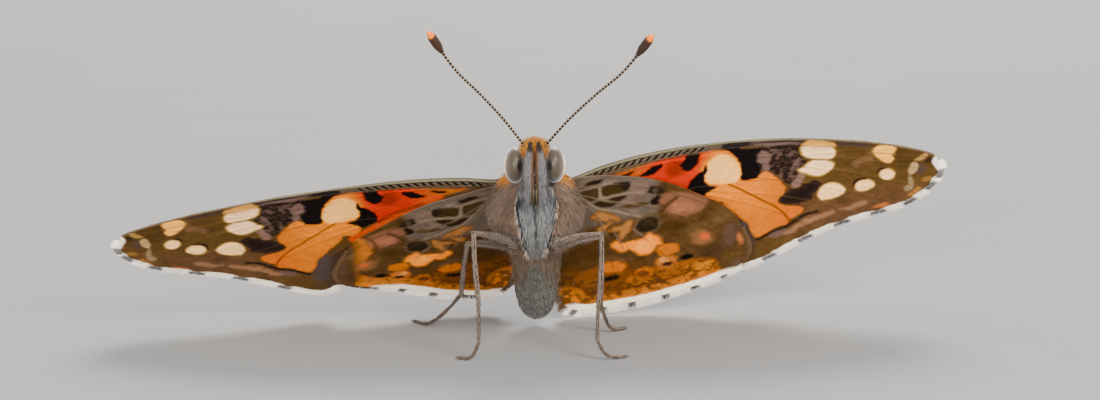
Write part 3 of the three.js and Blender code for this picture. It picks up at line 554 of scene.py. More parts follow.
def fore_under(x, y, rim, along):
    p = Paint(x, y, (122, 86, 34))
    grain, blot = cloud(x, y, 0.35, 3), cloud(x, y, 1.1, 5)
    costa, _ = to_line(x, y, FORE_COSTA)
    p.lay(smooth(10, 3, x) * smooth(3.2, 1.2, costa) * 0.7, (150, 118, 80))
    p.lay(smooth(-1, -5, y) * smooth(16, 22, x) * 0.75, (140, 98, 62))
    p.lay(smooth(0.1, 0.8, blot) * smooth(17, 20, x) * 0.45, (150, 112, 62))
    p.lay(smooth(0.0, 0.8, -blot) * smooth(17, 20, x) * 0.5, (92, 62, 22))
    p.lay(smooth(17, 13, x) * smooth(-4.5, -6.5, y), (104, 80, 62))
    p.lay(smooth(9.5, 5, x) * smooth(-0.6, -1.6, y), (196, 120, 66))
    warm = mix(tone(214, 132, 74), tone(252, 96, 36), smooth(3.5, 6.5, x))
    warm = mix(warm, tone(252, 158, 54), smooth(8.9, 10.6, x) * smooth(-0.6, 1.2, y))
    warm = mix(warm, tone(236, 120, 60), smooth(0.5, 2.0, y - 0.22 * x) * 0.7)
    p.shape(CELL_FIELD, warm, 0.12, 0.08, 1)
    p.oval(7.75, 1.0, 0.75, 0.95, (176, 52, 14), 20, 0.35, 0.2, 4, 0.8)
    p.shape(CREAM, (252, 166, 66), 0.2, 0.06, 2, grow=0.3)
    p.shape(MARBLE, (50, 34, 26), 0.1, 0.12, 5, grow=0.1)
    inner = (smooth(13.6, 14.0, x) * smooth(17.8, 17.2, x)
             * smooth(-0.9, 0.2, y + 0.9 * (x - 15.2) * (x > 15.2)))
    p.lay(inner * smooth(0.12, 0.35, grain) * 0.75, (134, 106, 88))
    p.lay(inner * smooth(0.2, 0.45, cloud(x, y, 0.22, 21)) * 0.6, (92, 66, 40))
    p.shape(BAR, (26, 18, 18), 0.07, 0.08, 6, grow=0.04)
    p.shape([(13.9, 1.35), (13.75, 2.05), (14.05, 2.35), (14.6, 2.2), (14.9, 1.6), (14.9, 0.9), (15.0, 0.15),
             (14.6, 0.15), (14.3, 0.85)], (158, 132, 116), 0.12, 0.12, 7, 0.85)
    p.shape([(16.7, 0.2), (16.85, 0.9), (17.05, 1.45), (17.25, 1.3), (17.15, 0.65), (16.9, 0.1)],
            (142, 116, 104), 0.07, 0.05, 8, 0.85)
    p.shape([(17.3, -2.0), (17.2, -1.4), (17.45, -0.85), (17.65, -0.3), (18.1, -0.55), (18.0, -1.25),
             (17.8, -1.9)], (166, 138, 118), 0.1, 0.08, 9, 0.9)
    glow = mix(tone(236, 142, 20), tone(242, 166, 74), smooth(-5.5, -2.0, y + 0.25 * (x - 13))
               * smooth(17, 14, x))
    glow = mix(glow, tone(238, 138, 32), smooth(16.2, 17.6, x))
    p.shape(ORANGE, glow, 0.09, 0.07, 10)
    p.lay(smooth(0.15, 0.0, np.abs(y + 0.95 + 0.02 * (x - 14))) * smooth(13.2, 13.8, x)
          * smooth(16.4, 15.8, x) * 0.5, (214, 106, 20))
    p.line([(12.2, -1.2), (13.7, -2.15), (15.3, -3.35), (16.4, -4.1), (17.35, -5.0), (18.0, -6.0)],
           (182, 88, 14), 0.14, 0.08)
    p.shape(DARK_PATCH, (58, 38, 28), 0.14, 0.14, 11, grow=0.05)
    p.shape(DARK_PATCH, (38, 24, 20), 0.3, 0.1, 12, 0.8, grow=-0.35)
    p.line([(15.9, -7.95), (16.9, -7.15), (17.85, -6.55), (18.55, -5.8), (19.1, -5.25), (19.9, -4.95)],
           (52, 34, 20), 0.26, 0.14)
    p.shape([(17.7, -7.4), (18.25, -6.85), (18.85, -6.05), (19.7, -5.55), (20.65, -5.15), (21.3, -4.95),
             (21.25, -5.4), (20.4, -5.95), (19.55, -6.35), (19.0, -6.8), (18.4, -7.45)],
            (184, 146, 112), 0.16, 0.1, 13, 0.85)
    p.shape([(21.6, -4.85), (22.3, -4.6), (22.85, -4.1), (23.45, -3.95), (23.65, -4.25), (23.1, -4.7),
             (22.4, -5.0)], (180, 146, 116), 0.16, 0.1, 14, 0.8)
    p.shape([(16.7, -7.65), (17.2, -7.1), (18.1, -6.85), (17.9, -7.4), (17.35, -7.85)], (150, 122, 110), 0.14,
            0.1, 15, 0.7)
    p.shape([(13.75, -6.2), (14.0, -5.55), (14.6, -6.05), (15.05, -7.05), (15.5, -7.8), (15.65, -8.75),
             (15.2, -9.2), (14.5, -8.65), (14.05, -7.65)], (112, 96, 90), 0.25, 0.15, 16, 0.8)
    p.shape([(21.5, 0.25), (21.6, 0.8), (22.1, 1.05), (22.9, 1.0), (22.95, 0.65), (22.2, 0.5), (21.95, 0.0)],
            (166, 128, 92), 0.16, 0.1, 17, 0.6)
    p.lay(smooth(0.9, 0.35, rim) * smooth(0.2, 0.3, along) * 0.45 * smooth(-0.3, 0.4, blot), (78, 54, 26))
    p.oval(27.0, -0.35, 0.42, 0.62, (110, 84, 72), 10, 0.2, 0.1, 18, 0.8)
    p.oval(27.35, 0.65, 0.3, 0.36, (56, 42, 28), 0, 0.15, 0.08, 19, 0.8)
    p.shape([(26.05, -0.05), (26.2, 0.4), (26.6, 0.3), (26.75, -0.3), (26.65, -0.9), (26.3, -1.0),
             (26.1, -0.5)], (200, 180, 146), 0.1, 0.06, 20)
    p.shape([(26.3, 0.65), (26.5, 1.0), (26.8, 1.4), (27.1, 1.45), (27.1, 0.95), (26.8, 0.6)],
            (200, 170, 122), 0.1, 0.06, 21, 0.9)
    p.shape([(26.15, -2.5), (26.45, -2.15), (26.3, -1.45), (26.3, -1.1), (26.6, -1.45), (26.85, -2.15),
             (26.85, -2.75), (26.4, -2.85)], (176, 156, 122), 0.1, 0.06, 22, 0.95)
    p.shape([(27.4, -1.75), (27.55, -1.4), (28.05, -1.3), (28.15, -1.65), (27.85, -1.85)], (176, 132, 72),
            0.12, 0.06, 23)
    p.shape([(26.7, -3.35), (27.0, -2.9), (27.2, -2.4), (27.6, -2.5), (27.45, -2.9), (27.2, -3.25),
             (27.1, -3.6)], (190, 142, 82), 0.12, 0.06, 24)
    p.oval(24.9, -4.55, 0.5, 0.22, (214, 148, 98), 25, 0.12, 0.06, 25, 0.8)
    p.line([(4.2, 0.05), (5.4, -0.45), (7.0, -1.25), (8.4, -2.05), (9.9, -2.95), (11.4, -3.85)],
           (236, 124, 54), 0.75, 0.2)
    p.line([(5.6, -0.5), (7.0, -0.95), (8.0, -1.3), (9.1, -1.9)], (186, 56, 12), 0.4, 0.2, 0.8)
    for vein in FORE_VEINS[3:10]:
        p.line(vein, (146, 108, 58), 0.08, 0.07, 0.3, (0.5, 0.7))
    p.shape(CREAM, (250, 224, 188), 0.08, 0.07, 26)
    p.shape(CREAM, (250, 202, 140), 0.15, 0.1, 27, 0.35)
    p.shape(CREAM, (252, 230, 198), 0.15, 0.08, 28, 0.9, grow=-0.2)
    for k, spot in enumerate(BLACKS):
        p.shape(spot, (22, 16, 16), 0.08, 0.09, 30 + k, grow=0.05)
    p.line([(9.3, -1.4), (10.2, -1.25), (11.2, -1.4)], (92, 70, 66), 0.07, 0.05, 0.8)
    for k, spot in enumerate(SPOT_BAR):
        p.shape(spot, (190, 160, 96), 0.1, 0.05, 40 + k, 0.9, grow=0.14)
        p.shape(spot, (250, 238, 220), 0.07, 0.05, 42 + k)
    p.shape(SPOT_TOP, (214, 180, 132), 0.1, 0.06, 44)
    for k, (spot, dark) in enumerate([(SPOT_SMALL, (-0.3, 0.2)), (SPOT_MID, (-0.28, 0.25))]):
        p.shape([(a + dark[0], b + dark[1]) for a, b in spot], (34, 22, 16), 0.09, 0.05, 46 + k)
    for k, spot in enumerate([SPOT_NEAR, SPOT_SMALL, SPOT_MID, SPOT_BIG]):
        p.shape(spot, (196, 160, 104), 0.1, 0.05, 50 + k, 0.8, grow=0.1)
        p.shape(spot, (250, 222, 180) if k == 0 else (250, 236, 212), 0.07, 0.05, 54 + k)
    p.line([(22.7, 1.65), (23.6, 1.55), (24.6, 1.4)], (186, 144, 96), 0.08, 0.05, 0.9)
    p.line([(17.0, 1.25), (18.4, 1.05), (19.9, 0.95)], (120, 92, 50), 0.08, 0.06, 0.9)
    # Front edge: pale rim, short dark bars near the root, dark strip further out
    strip = smooth(0.95, 0.8, costa) * smooth(11.2, 9.5, x) * smooth(-1, 0.3, x)
    p.lay(strip, (138, 122, 98))
    p.lay(smooth(0.1, 0.02, np.abs(costa - 1.0)) * smooth(10.5, 9, x) * 0.8, (104, 70, 34))
    p.lay(smooth(0.9, 0.7, costa) * smooth(0.1, 0.2, costa) * smooth(10.5, 9, x) * 0.6, (150, 136, 108))
    bars = 0.5 + 0.5 * np.cos((x + 0.55 * costa) * 2 * math.pi / 0.56 + 0.7 * noise(x, y, 0.9, 3))
    p.lay(smooth(0.36, 0.62, bars) * smooth(0.2, 0.28, costa) * smooth(0.84, 0.74, costa) * smooth(10, 9.3, x)
          * smooth(0, 0.6, x), (28, 22, 18))
    band = smooth(10.2, 10.8, x) * smooth(0.75, 0.6, costa)
    p.lay(band * smooth(17.2, 16.6, x), (140, 118, 104))
    p.lay(smooth(10.6, 10.9, x) * smooth(13.6, 12.6, x) * smooth(0.7, 0.6, costa) * 0.9, (32, 26, 24))
    p.lay(smooth(12.8, 14, x) * smooth(22.5, 21.0, x) * smooth(0.16, 0.22, costa) * smooth(0.42, 0.34, costa)
          * (1 - smooth(17.0, 17.3, x) * smooth(19.8, 19.5, x)) * 0.85, (44, 32, 28))
    p.lay(smooth(19.6, 19.9, x) * smooth(23, 21.8, x) * smooth(0.75, 0.5, costa) * 0.8, (98, 78, 66))
    p.lay(smooth(0.14, 0.09, costa), (158, 152, 122))
    p.lay(smooth(0.17, 0.11, costa) * smooth(14, 22, x) * 0.7, (150, 122, 82))
    return p.c * (1 + 0.10 * grain + 0.05 * blot)[:, None]


def fore_upper(x, y, rim, along):
    p = Paint(x, y, (196, 96, 44))
    grain, blot = cloud(x, y, 0.35, 3), cloud(x, y, 1.1, 5)
    costa, _ = to_line(x, y, FORE_COSTA)
    p.lay(smooth(6.5, 1.5, x) * 0.9, (112, 76, 46))
    p.lay(smooth(12.8, 13.4, x - 0.1 * y), (34, 24, 22))
    p.lay(smooth(12, 9.5, x) * smooth(1.3, 0.7, costa), (98, 70, 50))
    p.shape(ORANGE, (214, 106, 48), 0.1, 0.1, 10, grow=0.12)
    p.shape(CREAM, (222, 122, 58), 0.1, 0.1, 2)
    p.shape([(8.9, 2.9), (9.5, 2.8), (9.3, 1.2), (10.2, 0.7), (10.3, -1.0), (11.3, -1.5), (10.5, -2.5),
             (11.6, -3.4), (12.9, -4.6), (12.6, -6.2), (11.2, -6.6), (10.9, -5.0), (9.9, -3.6), (9.0, -2.0),
             (8.9, -0.4), (8.0, 0.8), (8.0, 1.9)], (36, 25, 22), 0.1, 0.14, 60)
    p.shape([(4.9, 0.3), (5.6, 1.2), (6.4, 1.8), (6.6, 1.3), (6.2, 0.4), (5.7, -0.3)], (44, 30, 24), 0.1,
            0.12, 61)
    p.shape(BAR, (30, 21, 20), 0.1, 0.1, 6, grow=0.2)
    p.shape(DARK_PATCH, (34, 24, 22), 0.12, 0.1, 11, grow=0.15)
    p.oval(14.6, -7.7, 0.75, 0.6, (36, 25, 22), 30, 0.12, 0.1, 62)
    p.oval(16.6, -7.6, 0.8, 0.5, (36, 25, 22), 40, 0.12, 0.1, 63)
    p.lay(smooth(1.7, 1.35, rim + 0.15 * blot) * smooth(0.25, 0.32, along), (38, 27, 24))
    p.lay(smooth(0.1, 0.03, np.abs(rim - 1.15 - 0.1 * blot)) * 0.5 * smooth(0.1, 0.2, along), (140, 104, 78))
    for k, spot in enumerate(SPOT_BAR + [SPOT_NEAR, SPOT_SMALL, SPOT_MID, SPOT_BIG]):
        p.shape(spot, (246, 238, 222), 0.08, 0.05, 64 + k, grow=-0.08)
    for vein in FORE_VEINS:
        p.line(vein, (46, 32, 26), 0.1, 0.07, 0.55)
    p.lay(smooth(0.17, 0.1, costa) * 0.8, (92, 74, 54))
    return p.c * (1 + 0.12 * grain + 0.06 * blot)[:, None]


# Eyespots on the upper face of a hindwing
EYESPOTS = [(11.6, -7.2), (9.75, -8.45), (7.2, -9.6), (5.1, -10.5), (3.05, -10.4)]


def hind_under(x, y, rim, along):
    p = Paint(x, y, (112, 76, 30))
    grain, blot = cloud(x, y, 0.35, 33), cloud(x, y, 1.2, 35)
    swirl = cloud(x + 0.5 * noise(x, y, 0.9, 51), y + 0.5 * noise(x, y, 0.9, 52), 0.75, 53)
    p.lay(smooth(0.1, 0.8, swirl) * 0.55, (140, 102, 54))
    p.lay(smooth(0.1, 0.8, -swirl) * 0.6, (78, 44, 8))
    p.oval(7.6, -6.7, 0.9, 1.0, (82, 48, 8), 20, 0.5, 0.2, 60, 0.7)
    p.oval(9.7, -6.9, 1.5, 0.55, (134, 100, 50), 15, 0.4, 0.2, 61, 0.7)
    p.oval(11.2, -6.2, 0.8, 0.6, (142, 108, 60), -40, 0.4, 0.2, 62, 0.7)
    p.oval(10.6, -10.2, 1.1, 0.8, (90, 58, 26), -30, 0.5, 0.2, 63, 0.7)
    p.oval(12.4, -11.1, 0.7, 0.8, (132, 96, 40), 0, 0.4, 0.2, 64, 0.7)
    p.lay(smooth(6.2, 4.4, x) * smooth(-9.2, -9.9, y) * 0.6, (124, 70, 16))
    p.lay(smooth(3.5, 0.5, x) * smooth(-3, -7, y) * 0.6, (96, 54, 12))
    p.lay(smooth(6.8, 5.6, x) * smooth(-4.9, -3.9, y), (132, 118, 98))
    p.lay(smooth(6.8, 5.6, x) * smooth(-4.9, -3.9, y) * smooth(0.0, 0.7, swirl) * 0.5, (150, 130, 108))
    p.shape([(0.6, 0.15), (1.0, 0.65), (1.7, 0.65), (2.1, 0.5), (1.8, 0.2), (1.2, 0.1)], (46, 34, 14), 0.08,
            0.08, 1)
    p.shape([(0.5, -0.35), (1.1, -0.35), (1.75, -0.35), (1.85, -1.3), (1.2, -1.6), (0.5, -0.95)],
            (84, 62, 26), 0.08, 0.08, 2)
    p.shape([(2.1, -1.25), (2.0, -0.55), (2.35, -0.25), (2.9, -0.1), (3.65, -0.2), (4.1, -0.35), (4.15, -1.0),
             (3.8, -1.3), (2.95, -1.35), (2.4, -1.4)], (72, 54, 16), 0.08, 0.08, 3)
    p.shape([(3.3, -0.15), (4.1, -0.3), (4.2, -0.9), (3.8, -1.2), (3.5, -0.8)], (44, 32, 24), 0.14, 0.12, 4)
    p.shape([(1.3, -2.0), (1.8, -1.8), (2.6, -1.8), (3.35, -1.65), (3.9, -1.8), (3.8, -2.0), (3.35, -2.3),
             (2.75, -2.65), (2.1, -2.55), (1.6, -2.3)], (56, 36, 14), 0.09, 0.08, 5)
    p.shape([(2.1, -0.25), (2.15, 0.35), (2.45, 0.55), (2.8, 0.3), (2.8, -0.05), (2.45, -0.15)],
            (150, 134, 124), 0.1, 0.08, 6)
    p.shape([(4.15, -0.75), (4.35, -0.35), (4.85, -0.3), (5.45, -0.7), (5.55, -1.4), (5.4, -2.05),
             (5.65, -2.6), (4.9, -2.85), (4.0, -2.8), (3.4, -2.5), (3.7, -2.2), (4.25, -1.85)],
            (148, 126, 104), 0.14, 0.12, 7)
    p.oval(4.9, -2.4, 0.6, 0.35, (126, 106, 84), 0, 0.2, 0.1, 65, 0.8)
    p.shape([(3.4, -2.9), (4.3, -2.75), (5.3, -2.9), (5.8, -3.25), (4.9, -3.3), (3.9, -3.2)], (96, 70, 26),
            0.12, 0.1, 8)
    p.shape([(5.5, -1.75), (5.7, -1.35), (6.1, -1.35), (6.4, -1.55), (6.7, -1.75), (6.9, -2.05), (6.5, -2.3),
             (6.0, -2.25), (5.6, -2.0)], (48, 36, 18), 0.1, 0.12, 9)
    p.shape([(5.65, -3.1), (5.95, -2.6), (6.4, -2.5), (6.55, -2.9), (6.4, -3.3), (5.95, -3.4)], (32, 20, 10),
            0.1, 0.1, 10)
    p.oval(6.1, -1.85, 0.25, 0.3, (112, 96, 66), 0, 0.1, 0.08, 11, 0.7)
    p.shape([(6.4, -2.85), (7.0, -2.4), (7.8, -2.5), (8.7, -2.8), (9.6, -3.45), (10.1, -3.9), (9.95, -4.5),
             (9.5, -5.05), (8.75, -5.3), (7.8, -5.15), (7.05, -4.7), (6.7, -4.1), (7.2, -3.65), (6.55, -3.5)],
            (160, 112, 78), 0.2, 0.12, 12)
    p.oval(8.3, -4.3, 1.1, 0.6, (188, 138, 102), -25, 0.4, 0.15, 66, 0.9)
    p.line([(6.6, -4.3), (7.1, -3.6), (7.7, -3.1)], (98, 60, 26), 0.26, 0.16, 0.9)
    p.oval(5.5, -5.55, 1.1, 1.1, (124, 104, 72), -40, 0.2, 0.1, 13, 0.8)
    p.oval(5.5, -5.55, 0.88, 0.88, (52, 36, 14), -40, 0.14, 0.1, 14)
    p.oval(5.45, -5.3, 0.45, 0.35, (72, 58, 34), -40, 0.25, 0.1, 15, 0.8)
    tan_shapes = [
        [(1.2, -3.45), (1.55, -3.05), (2.0, -3.0), (2.75, -3.6), (3.35, -4.15), (3.2, -4.35), (2.6, -4.0),
         (2.15, -4.1)],
        [(2.4, -5.35), (2.75, -5.1), (3.5, -5.0), (4.1, -4.6), (4.3, -5.0), (4.0, -5.9), (3.55, -6.45),
         (3.3, -6.75), (3.15, -6.3), (3.45, -5.6), (2.9, -5.55)],
        [(1.7, -4.9), (2.1, -4.6), (2.7, -4.4), (2.4, -4.9), (1.9, -5.3)],
    ]
    for k, s in enumerate(tan_shapes):
        p.shape(s, (150, 96, 36), 0.18, 0.14, 16 + k, 0.9, grow=0.16)
        p.shape(s, (192, 140, 86), 0.14, 0.12, 67 + k)
    p.oval(3.0, -6.2, 0.4, 0.8, (82, 44, 12), 10, 0.3, 0.15, 70, 0.7)
    peach = [(2.85, -6.85), (3.15, -6.7), (3.4, -7.1), (4.15, -7.1), (4.95, -7.1), (5.25, -6.9), (5.7, -6.65),
             (6.25, -7.2), (6.5, -7.6), (6.6, -8.1), (6.1, -8.1), (5.95, -8.65), (5.6, -9.0), (4.95, -8.95),
             (4.5, -8.35), (4.0, -7.95), (3.55, -8.15), (3.25, -7.8), (2.85, -7.3)]
    p.shape(peach, (196, 130, 66), 0.2, 0.12, 20, 0.9, grow=0.12)
    p.shape(peach, (234, 172, 112), 0.16, 0.12, 71)
    p.oval(5.3, -8.0, 0.85, 0.55, (250, 204, 156), -30, 0.3, 0.1, 21, 0.9)
    p.shape([(6.3, -9.0), (6.4, -8.45), (6.9, -8.2), (7.5, -8.3), (7.9, -8.65), (8.0, -9.15), (7.75, -9.45),
             (7.2, -9.7), (6.7, -9.6)], (222, 134, 36), 0.18, 0.12, 22)
    # Orange band along the margin
    upper = np.interp(x, [0, 1, 2, 3.7, 4.3, 6, 7.5, 9, 10, 10.8, 11.2],
                      [-9.5, -9.6, -9.2, -9.8, -10.6, -10.8, -11, -10.6, -11, -11.3, -12.4])
    band = smooth(0.25, -0.2, y - upper + 0.25 * swirl) * smooth(11.5, 10.9, x)
    p.lay(band, mix(tone(158, 88, 30), tone(188, 112, 46), smooth(1.5, 5.5, x)))
    p.lay(band * smooth(0.0, 0.6, swirl) * 0.7,
          mix(tone(184, 110, 44), tone(212, 142, 78), smooth(1.5, 5, x)))
    p.lay(band * smooth(0.05, 0.6, -cloud(x, y, 0.7, 41)) * 0.85, (138, 76, 24))
    p.lay(smooth(2.3, 1.8, rim + 0.25 * swirl) * smooth(11.0, 9.8, x), (206, 140, 78))
    p.lay(smooth(2.1, 1.6, rim + 0.2 * swirl) * smooth(1.8, 0.6, x) * 0.8, (150, 90, 28))
    p.lay(smooth(0.22, 0.05, np.abs(rim - 2.35 - 0.2 * swirl)) * 0.75 * smooth(10.6, 9.6, x), (128, 62, 12))
    p.oval(10.0, -12.0, 0.9, 0.5, (216, 156, 86), 25, 0.25, 0.15, 72, 0.85)
    p.oval(4.0, -10.2, 0.45, 0.6, (120, 66, 16), 0, 0.3, 0.15, 73, 0.7)
    p.lay(smooth(0.8, -0.5, x) * smooth(-8.4, -9.4, y) * 0.6, (136, 74, 10))
    p.lay(band * smooth(0.05, 0.35, cloud(x + 9, y, 0.4, 44)) * smooth(4.2, 3.2, rim) * smooth(1.2, 1.8, rim)
          * 0.8, (96, 54, 20))
    p.lay(band * smooth(0.1, 0.4, cloud(x - 9, y, 0.5, 45)) * smooth(2.2, 1.4, rim) * 0.7, (226, 158, 92))
    # Eyespots: soft, uneven rings, no two alike
    p.shape([(2.1, -9.2), (2.9, -9.1), (3.7, -9.6), (3.9, -10.2), (3.2, -10.5), (2.4, -10.3), (2.0, -9.9)],
            (222, 138, 54), 0.2, 0.14, 74)
    p.shape([(1.9, -10.5), (3.0, -10.55), (4.2, -10.9), (4.0, -11.7), (2.9, -12.1), (1.9, -11.8)],
            (150, 78, 16), 0.2, 0.14, 75)
    p.shape([(2.15, -10.85), (2.8, -10.75), (3.35, -11.0), (3.2, -11.35), (2.5, -11.4), (2.15, -11.2)],
            (34, 20, 12), 0.14, 0.1, 76)
    p.oval(5.25, -11.35, 0.75, 0.62, (214, 132, 56), -20, 0.2, 0.14, 77, 0.8)
    p.oval(5.25, -11.4, 0.5, 0.4, (128, 62, 20), -20, 0.14, 0.1, 78, 0.9)
    p.oval(7.0, -10.35, 0.85, 0.75, (206, 138, 80), -30, 0.2, 0.14, 79)
    p.oval(6.85, -10.15, 0.4, 0.3, (220, 176, 132), -30, 0.2, 0.1, 80, 0.8)
    p.oval(7.15, -10.75, 0.45, 0.28, (64, 40, 22), -20, 0.14, 0.1, 81)
    p.shape([(8.1, -10.35), (8.3, -9.95), (8.9, -9.95), (9.15, -10.3), (8.9, -10.6), (8.4, -10.6)],
            (16, 11, 8), 0.14, 0.1, 82)
    p.oval(9.75, -8.25, 0.95, 0.75, (172, 124, 78), -40, 0.35, 0.15, 83, 0.9)
    p.oval(9.9, -8.15, 0.42, 0.36, (214, 128, 84), -40, 0.16, 0.08, 84)
    p.shape([(11.4, -9.9), (11.4, -8.1), (11.9, -7.2), (12.5, -8.0), (12.3, -9.8)], (122, 90, 66), 0.35, 0.2,
            85, 0.85)
    p.oval(12.75, -9.2, 0.28, 0.62, (206, 142, 98), 8, 0.18, 0.1, 86)
    p.oval(12.6, -12.1, 0.35, 0.6, (128, 100, 76), -50, 0.25, 0.15, 87, 0.7)
    p.lay(smooth(0.9, 0.5, rim) * smooth(-11.9, -10.9, y) * 0.8, (112, 82, 48))
    for vein in HIND_VEINS:
        p.line(vein, (150, 130, 102), 0.13, 0.08, 0.7, (0.3, 0.12))
        p.line(vein, (104, 68, 30), 0.07, 0.08, 0.35, (0.3, 0.5))
    for line in [[(1.85, -0.15), (1.9, -0.8), (2.0, -1.5), (3.0, -1.55), (4.1, -1.55), (5.2, -1.8)],
                 [(-0.05, -0.3), (1.05, -0.1), (1.85, -0.15), (3.0, 0.25)],
                 [(0.5, -1.0), (1.25, -2.05), (2.0, -2.75), (3.0, -3.2), (4.0, -3.85), (4.9, -4.4)]]:
        p.line(line, (164, 146, 120), 0.18, 0.08, 0.95)
    return p.c * (1 + 0.12 * grain + 0.06 * blot)[:, None]


def hind_upper(x, y, rim, along):
    p = Paint(x, y, (200, 108, 56))
    grain, blot = cloud(x, y, 0.35, 33), cloud(x, y, 1.2, 35)
    deep = np.hypot(x, y + 1)
    p.lay(smooth(7.5, 3.5, deep), (110, 76, 48))
    p.lay(smooth(2.0, -0.5, x) * 0.9, (150, 122, 92))
    p.lay(smooth(-3.2, -1.2, y - 0.25 * (x - 6)) * 0.9, (128, 94, 66))
    p.oval(5.6, -6.4, 1.0, 0.7, (48, 32, 26), -50, 0.15, 0.15, 70)
    p.oval(8.6, -5.2, 1.0, 0.8, (48, 32, 26), -30, 0.15, 0.15, 71)
    for k, (cx, cy) in enumerate(EYESPOTS):
        p.oval(cx, cy, 0.55, 0.5, (36, 25, 22), -50, 0.1, 0.05, 72 + k)
    wave = 0.5 + 0.5 * np.cos(along * 2 * math.pi * 7.5 + 0.6)
    p.lay(smooth(0.30, 0.18, np.abs(rim - 1.85)) * smooth(0.35, 0.6, wave) * smooth(0.02, 0.1, along),
          (40, 28, 24))
    p.lay(smooth(0.3, 0.2, np.abs(rim - 1.0)) * smooth(0.25, 0.5, wave) * smooth(0.02, 0.1, along),
          (40, 28, 24))
    for vein in HIND_VEINS:
        p.line(vein, (92, 56, 34), 0.1, 0.07, 0.5)
    return p.c * (1 + 0.12 * grain + 0.06 * blot)[:, None]


def wing_grid(edge, step):
    """Square grid cut to a smooth outline: plan points, quads and the loop of border edges."""
    lo, hi = edge.min(0) - step, edge.max(0) + step
    nx, ny = int((hi[0] - lo[0]) / step) + 1, int((hi[1] - lo[1]) / step) + 1
    gx, gy = np.meshgrid(lo[0] + step * np.arange(nx), lo[1] + step * np.arange(ny), indexing="ij")
    within = inside(gx.ravel(), gy.ravel(), edge).reshape(gx.shape)
    cell = within[:-1, :-1] | within[1:, :-1] | within[:-1, 1:] | within[1:, 1:]
    ids = np.arange(nx * ny).reshape(nx, ny)
    i, j = np.nonzero(cell)
    quads = np.stack([ids[i, j], ids[i + 1, j], ids[i + 1, j + 1], ids[i, j + 1]], -1)
    used, quads = np.unique(quads, return_inverse=True)
    quads = quads.reshape(-1, 4)
    pts = np.stack([gx.ravel()[used], gy.ravel()[used]], -1)
    out = ~within.ravel()[used]
    for k in np.nonzero(out)[0]:
        a, b = edge, np.roll(edge, -1, axis=0)
        d = b - a
        t = np.clip(((pts[k] - a) * d).sum(1) / np.maximum((d * d).sum(1), 1e-12), 0, 1)
        q = a + d * t[:, None]
        pts[k] = q[np.argmin(((q - pts[k]) ** 2).sum(1))]
    sides = np.concatenate([quads[:, [0, 1]], quads[:, [1, 2]], quads[:, [2, 3]], quads[:, [3, 0]]])
    key = np.sort(sides, 1)
    _, index, count = np.unique(key[:, 0] * len(pts) + key[:, 1], return_index=True, return_counts=True)
    return pts, quads, sides[index[count == 1]]


def make_wing(side, fore):
    name = ("fore" if fore else "hind") + "wing_" + ("left" if side > 0 else "right")
    edge = spline((FORE_EDGE if fore else HIND_EDGE)[side], PER_POINT, closed=True)
    lines = FORE_VEINS + [FORE_CELL] if fore else HIND_VEINS + [HIND_CELL]
    slide = side < 0 and not fore
    veins = [spline([slid(q) for q in v] if slide else v, 6) for v in lines]
    first, last = (10, 23) if fore else ((6, 18) if side > 0 else (7, 19))
    notches = (FORE_NOTCH if fore else HIND_NOTCH)[side]
    first, last = first * PER_POINT, last * PER_POINT
    outer = edge[first:last]
    # The membrane stops short of the outline along the outer margin, where the fringe takes over
    share = np.arange(len(edge))
    cut = smooth(first - 6, first + 4, share) * smooth(last + 6, last - 6, share)
    ahead = np.roll(edge, -1, axis=0) - np.roll(edge, 1, axis=0)
    ahead /= np.linalg.norm(ahead, axis=1)[:, None]
    inward = np.stack([ahead[:, 1], -ahead[:, 0]], -1)
    membrane = edge + inward * (0.5 * cut)[:, None]
    pts, quads, border = wing_grid(membrane, GRID_STEP)
    x, y = pts.T
    ridge = np.zeros(len(x))
    for v in veins:
        d, t = to_line(x, y, v)
        ridge = np.maximum(ridge, np.exp(-((d / VEIN_WIDTH) ** 2)) * VEIN_HEIGHT * (1.2 - 0.6 * t))
    ripple = 0.05 * cloud(x, y, 2.6, 9 if fore else 12) + 0.008 * cloud(x, y, 0.4, 4)
    level = (-0.05 if fore else -0.62) + ripple
    if not fore:
        level = level + 0.25 * smooth(-6, 0.5, y) - 0.05
    stiff = smooth(0.35, 0.0, to_line(x, y, edge[: 10 * PER_POINT])[0]) if fore else 0
    half = HALF_THICK + 0.25 * stiff * smooth(14, 2, x) * 0.35
    rim, along = to_line(x, y, outer)
    u, v = slid_back(x, y) if slide else (x, y)
    painted = []
    for paint in (fore_under, fore_upper) if fore else (hind_under, hind_upper):
        p = Paint(x, y, (120, 90, 60))
        p.c = paint(u, v, rim, along)
        white_rim(p, x, y, rim, notches, 0.74 if fore else 1.2, 0.6 if fore else 0.3,
                  fringe_white(x, y, side, fore))
        painted.append(p.c)
    under = wing_place(x, y, side, fore, level - half - ridge)
    upper = wing_place(x, y, side, fore, level + half + ridge)
    n = len(x)
    bottom, ceiling = quads[:, ::-1], quads + n
    wall = np.stack([border[:, 0], border[:, 1], border[:, 1] + n, border[:, 0] + n], -1)
    if side < 0:
        bottom, ceiling, wall = bottom[:, ::-1], ceiling[:, ::-1], wall[:, ::-1]
    verts = np.concatenate([under, upper])
    uv = np.concatenate([plan_spot(x, y), plan_spot(x, y, 0.5)])
    piece(name + "_membrane", verts, [bottom, ceiling, wall], WING_MATERIAL, [name],
          np.concatenate(painted), uv)
    make_fringe(name, side, fore, outer, inward[first:last], cut[first:last], level, x, y)


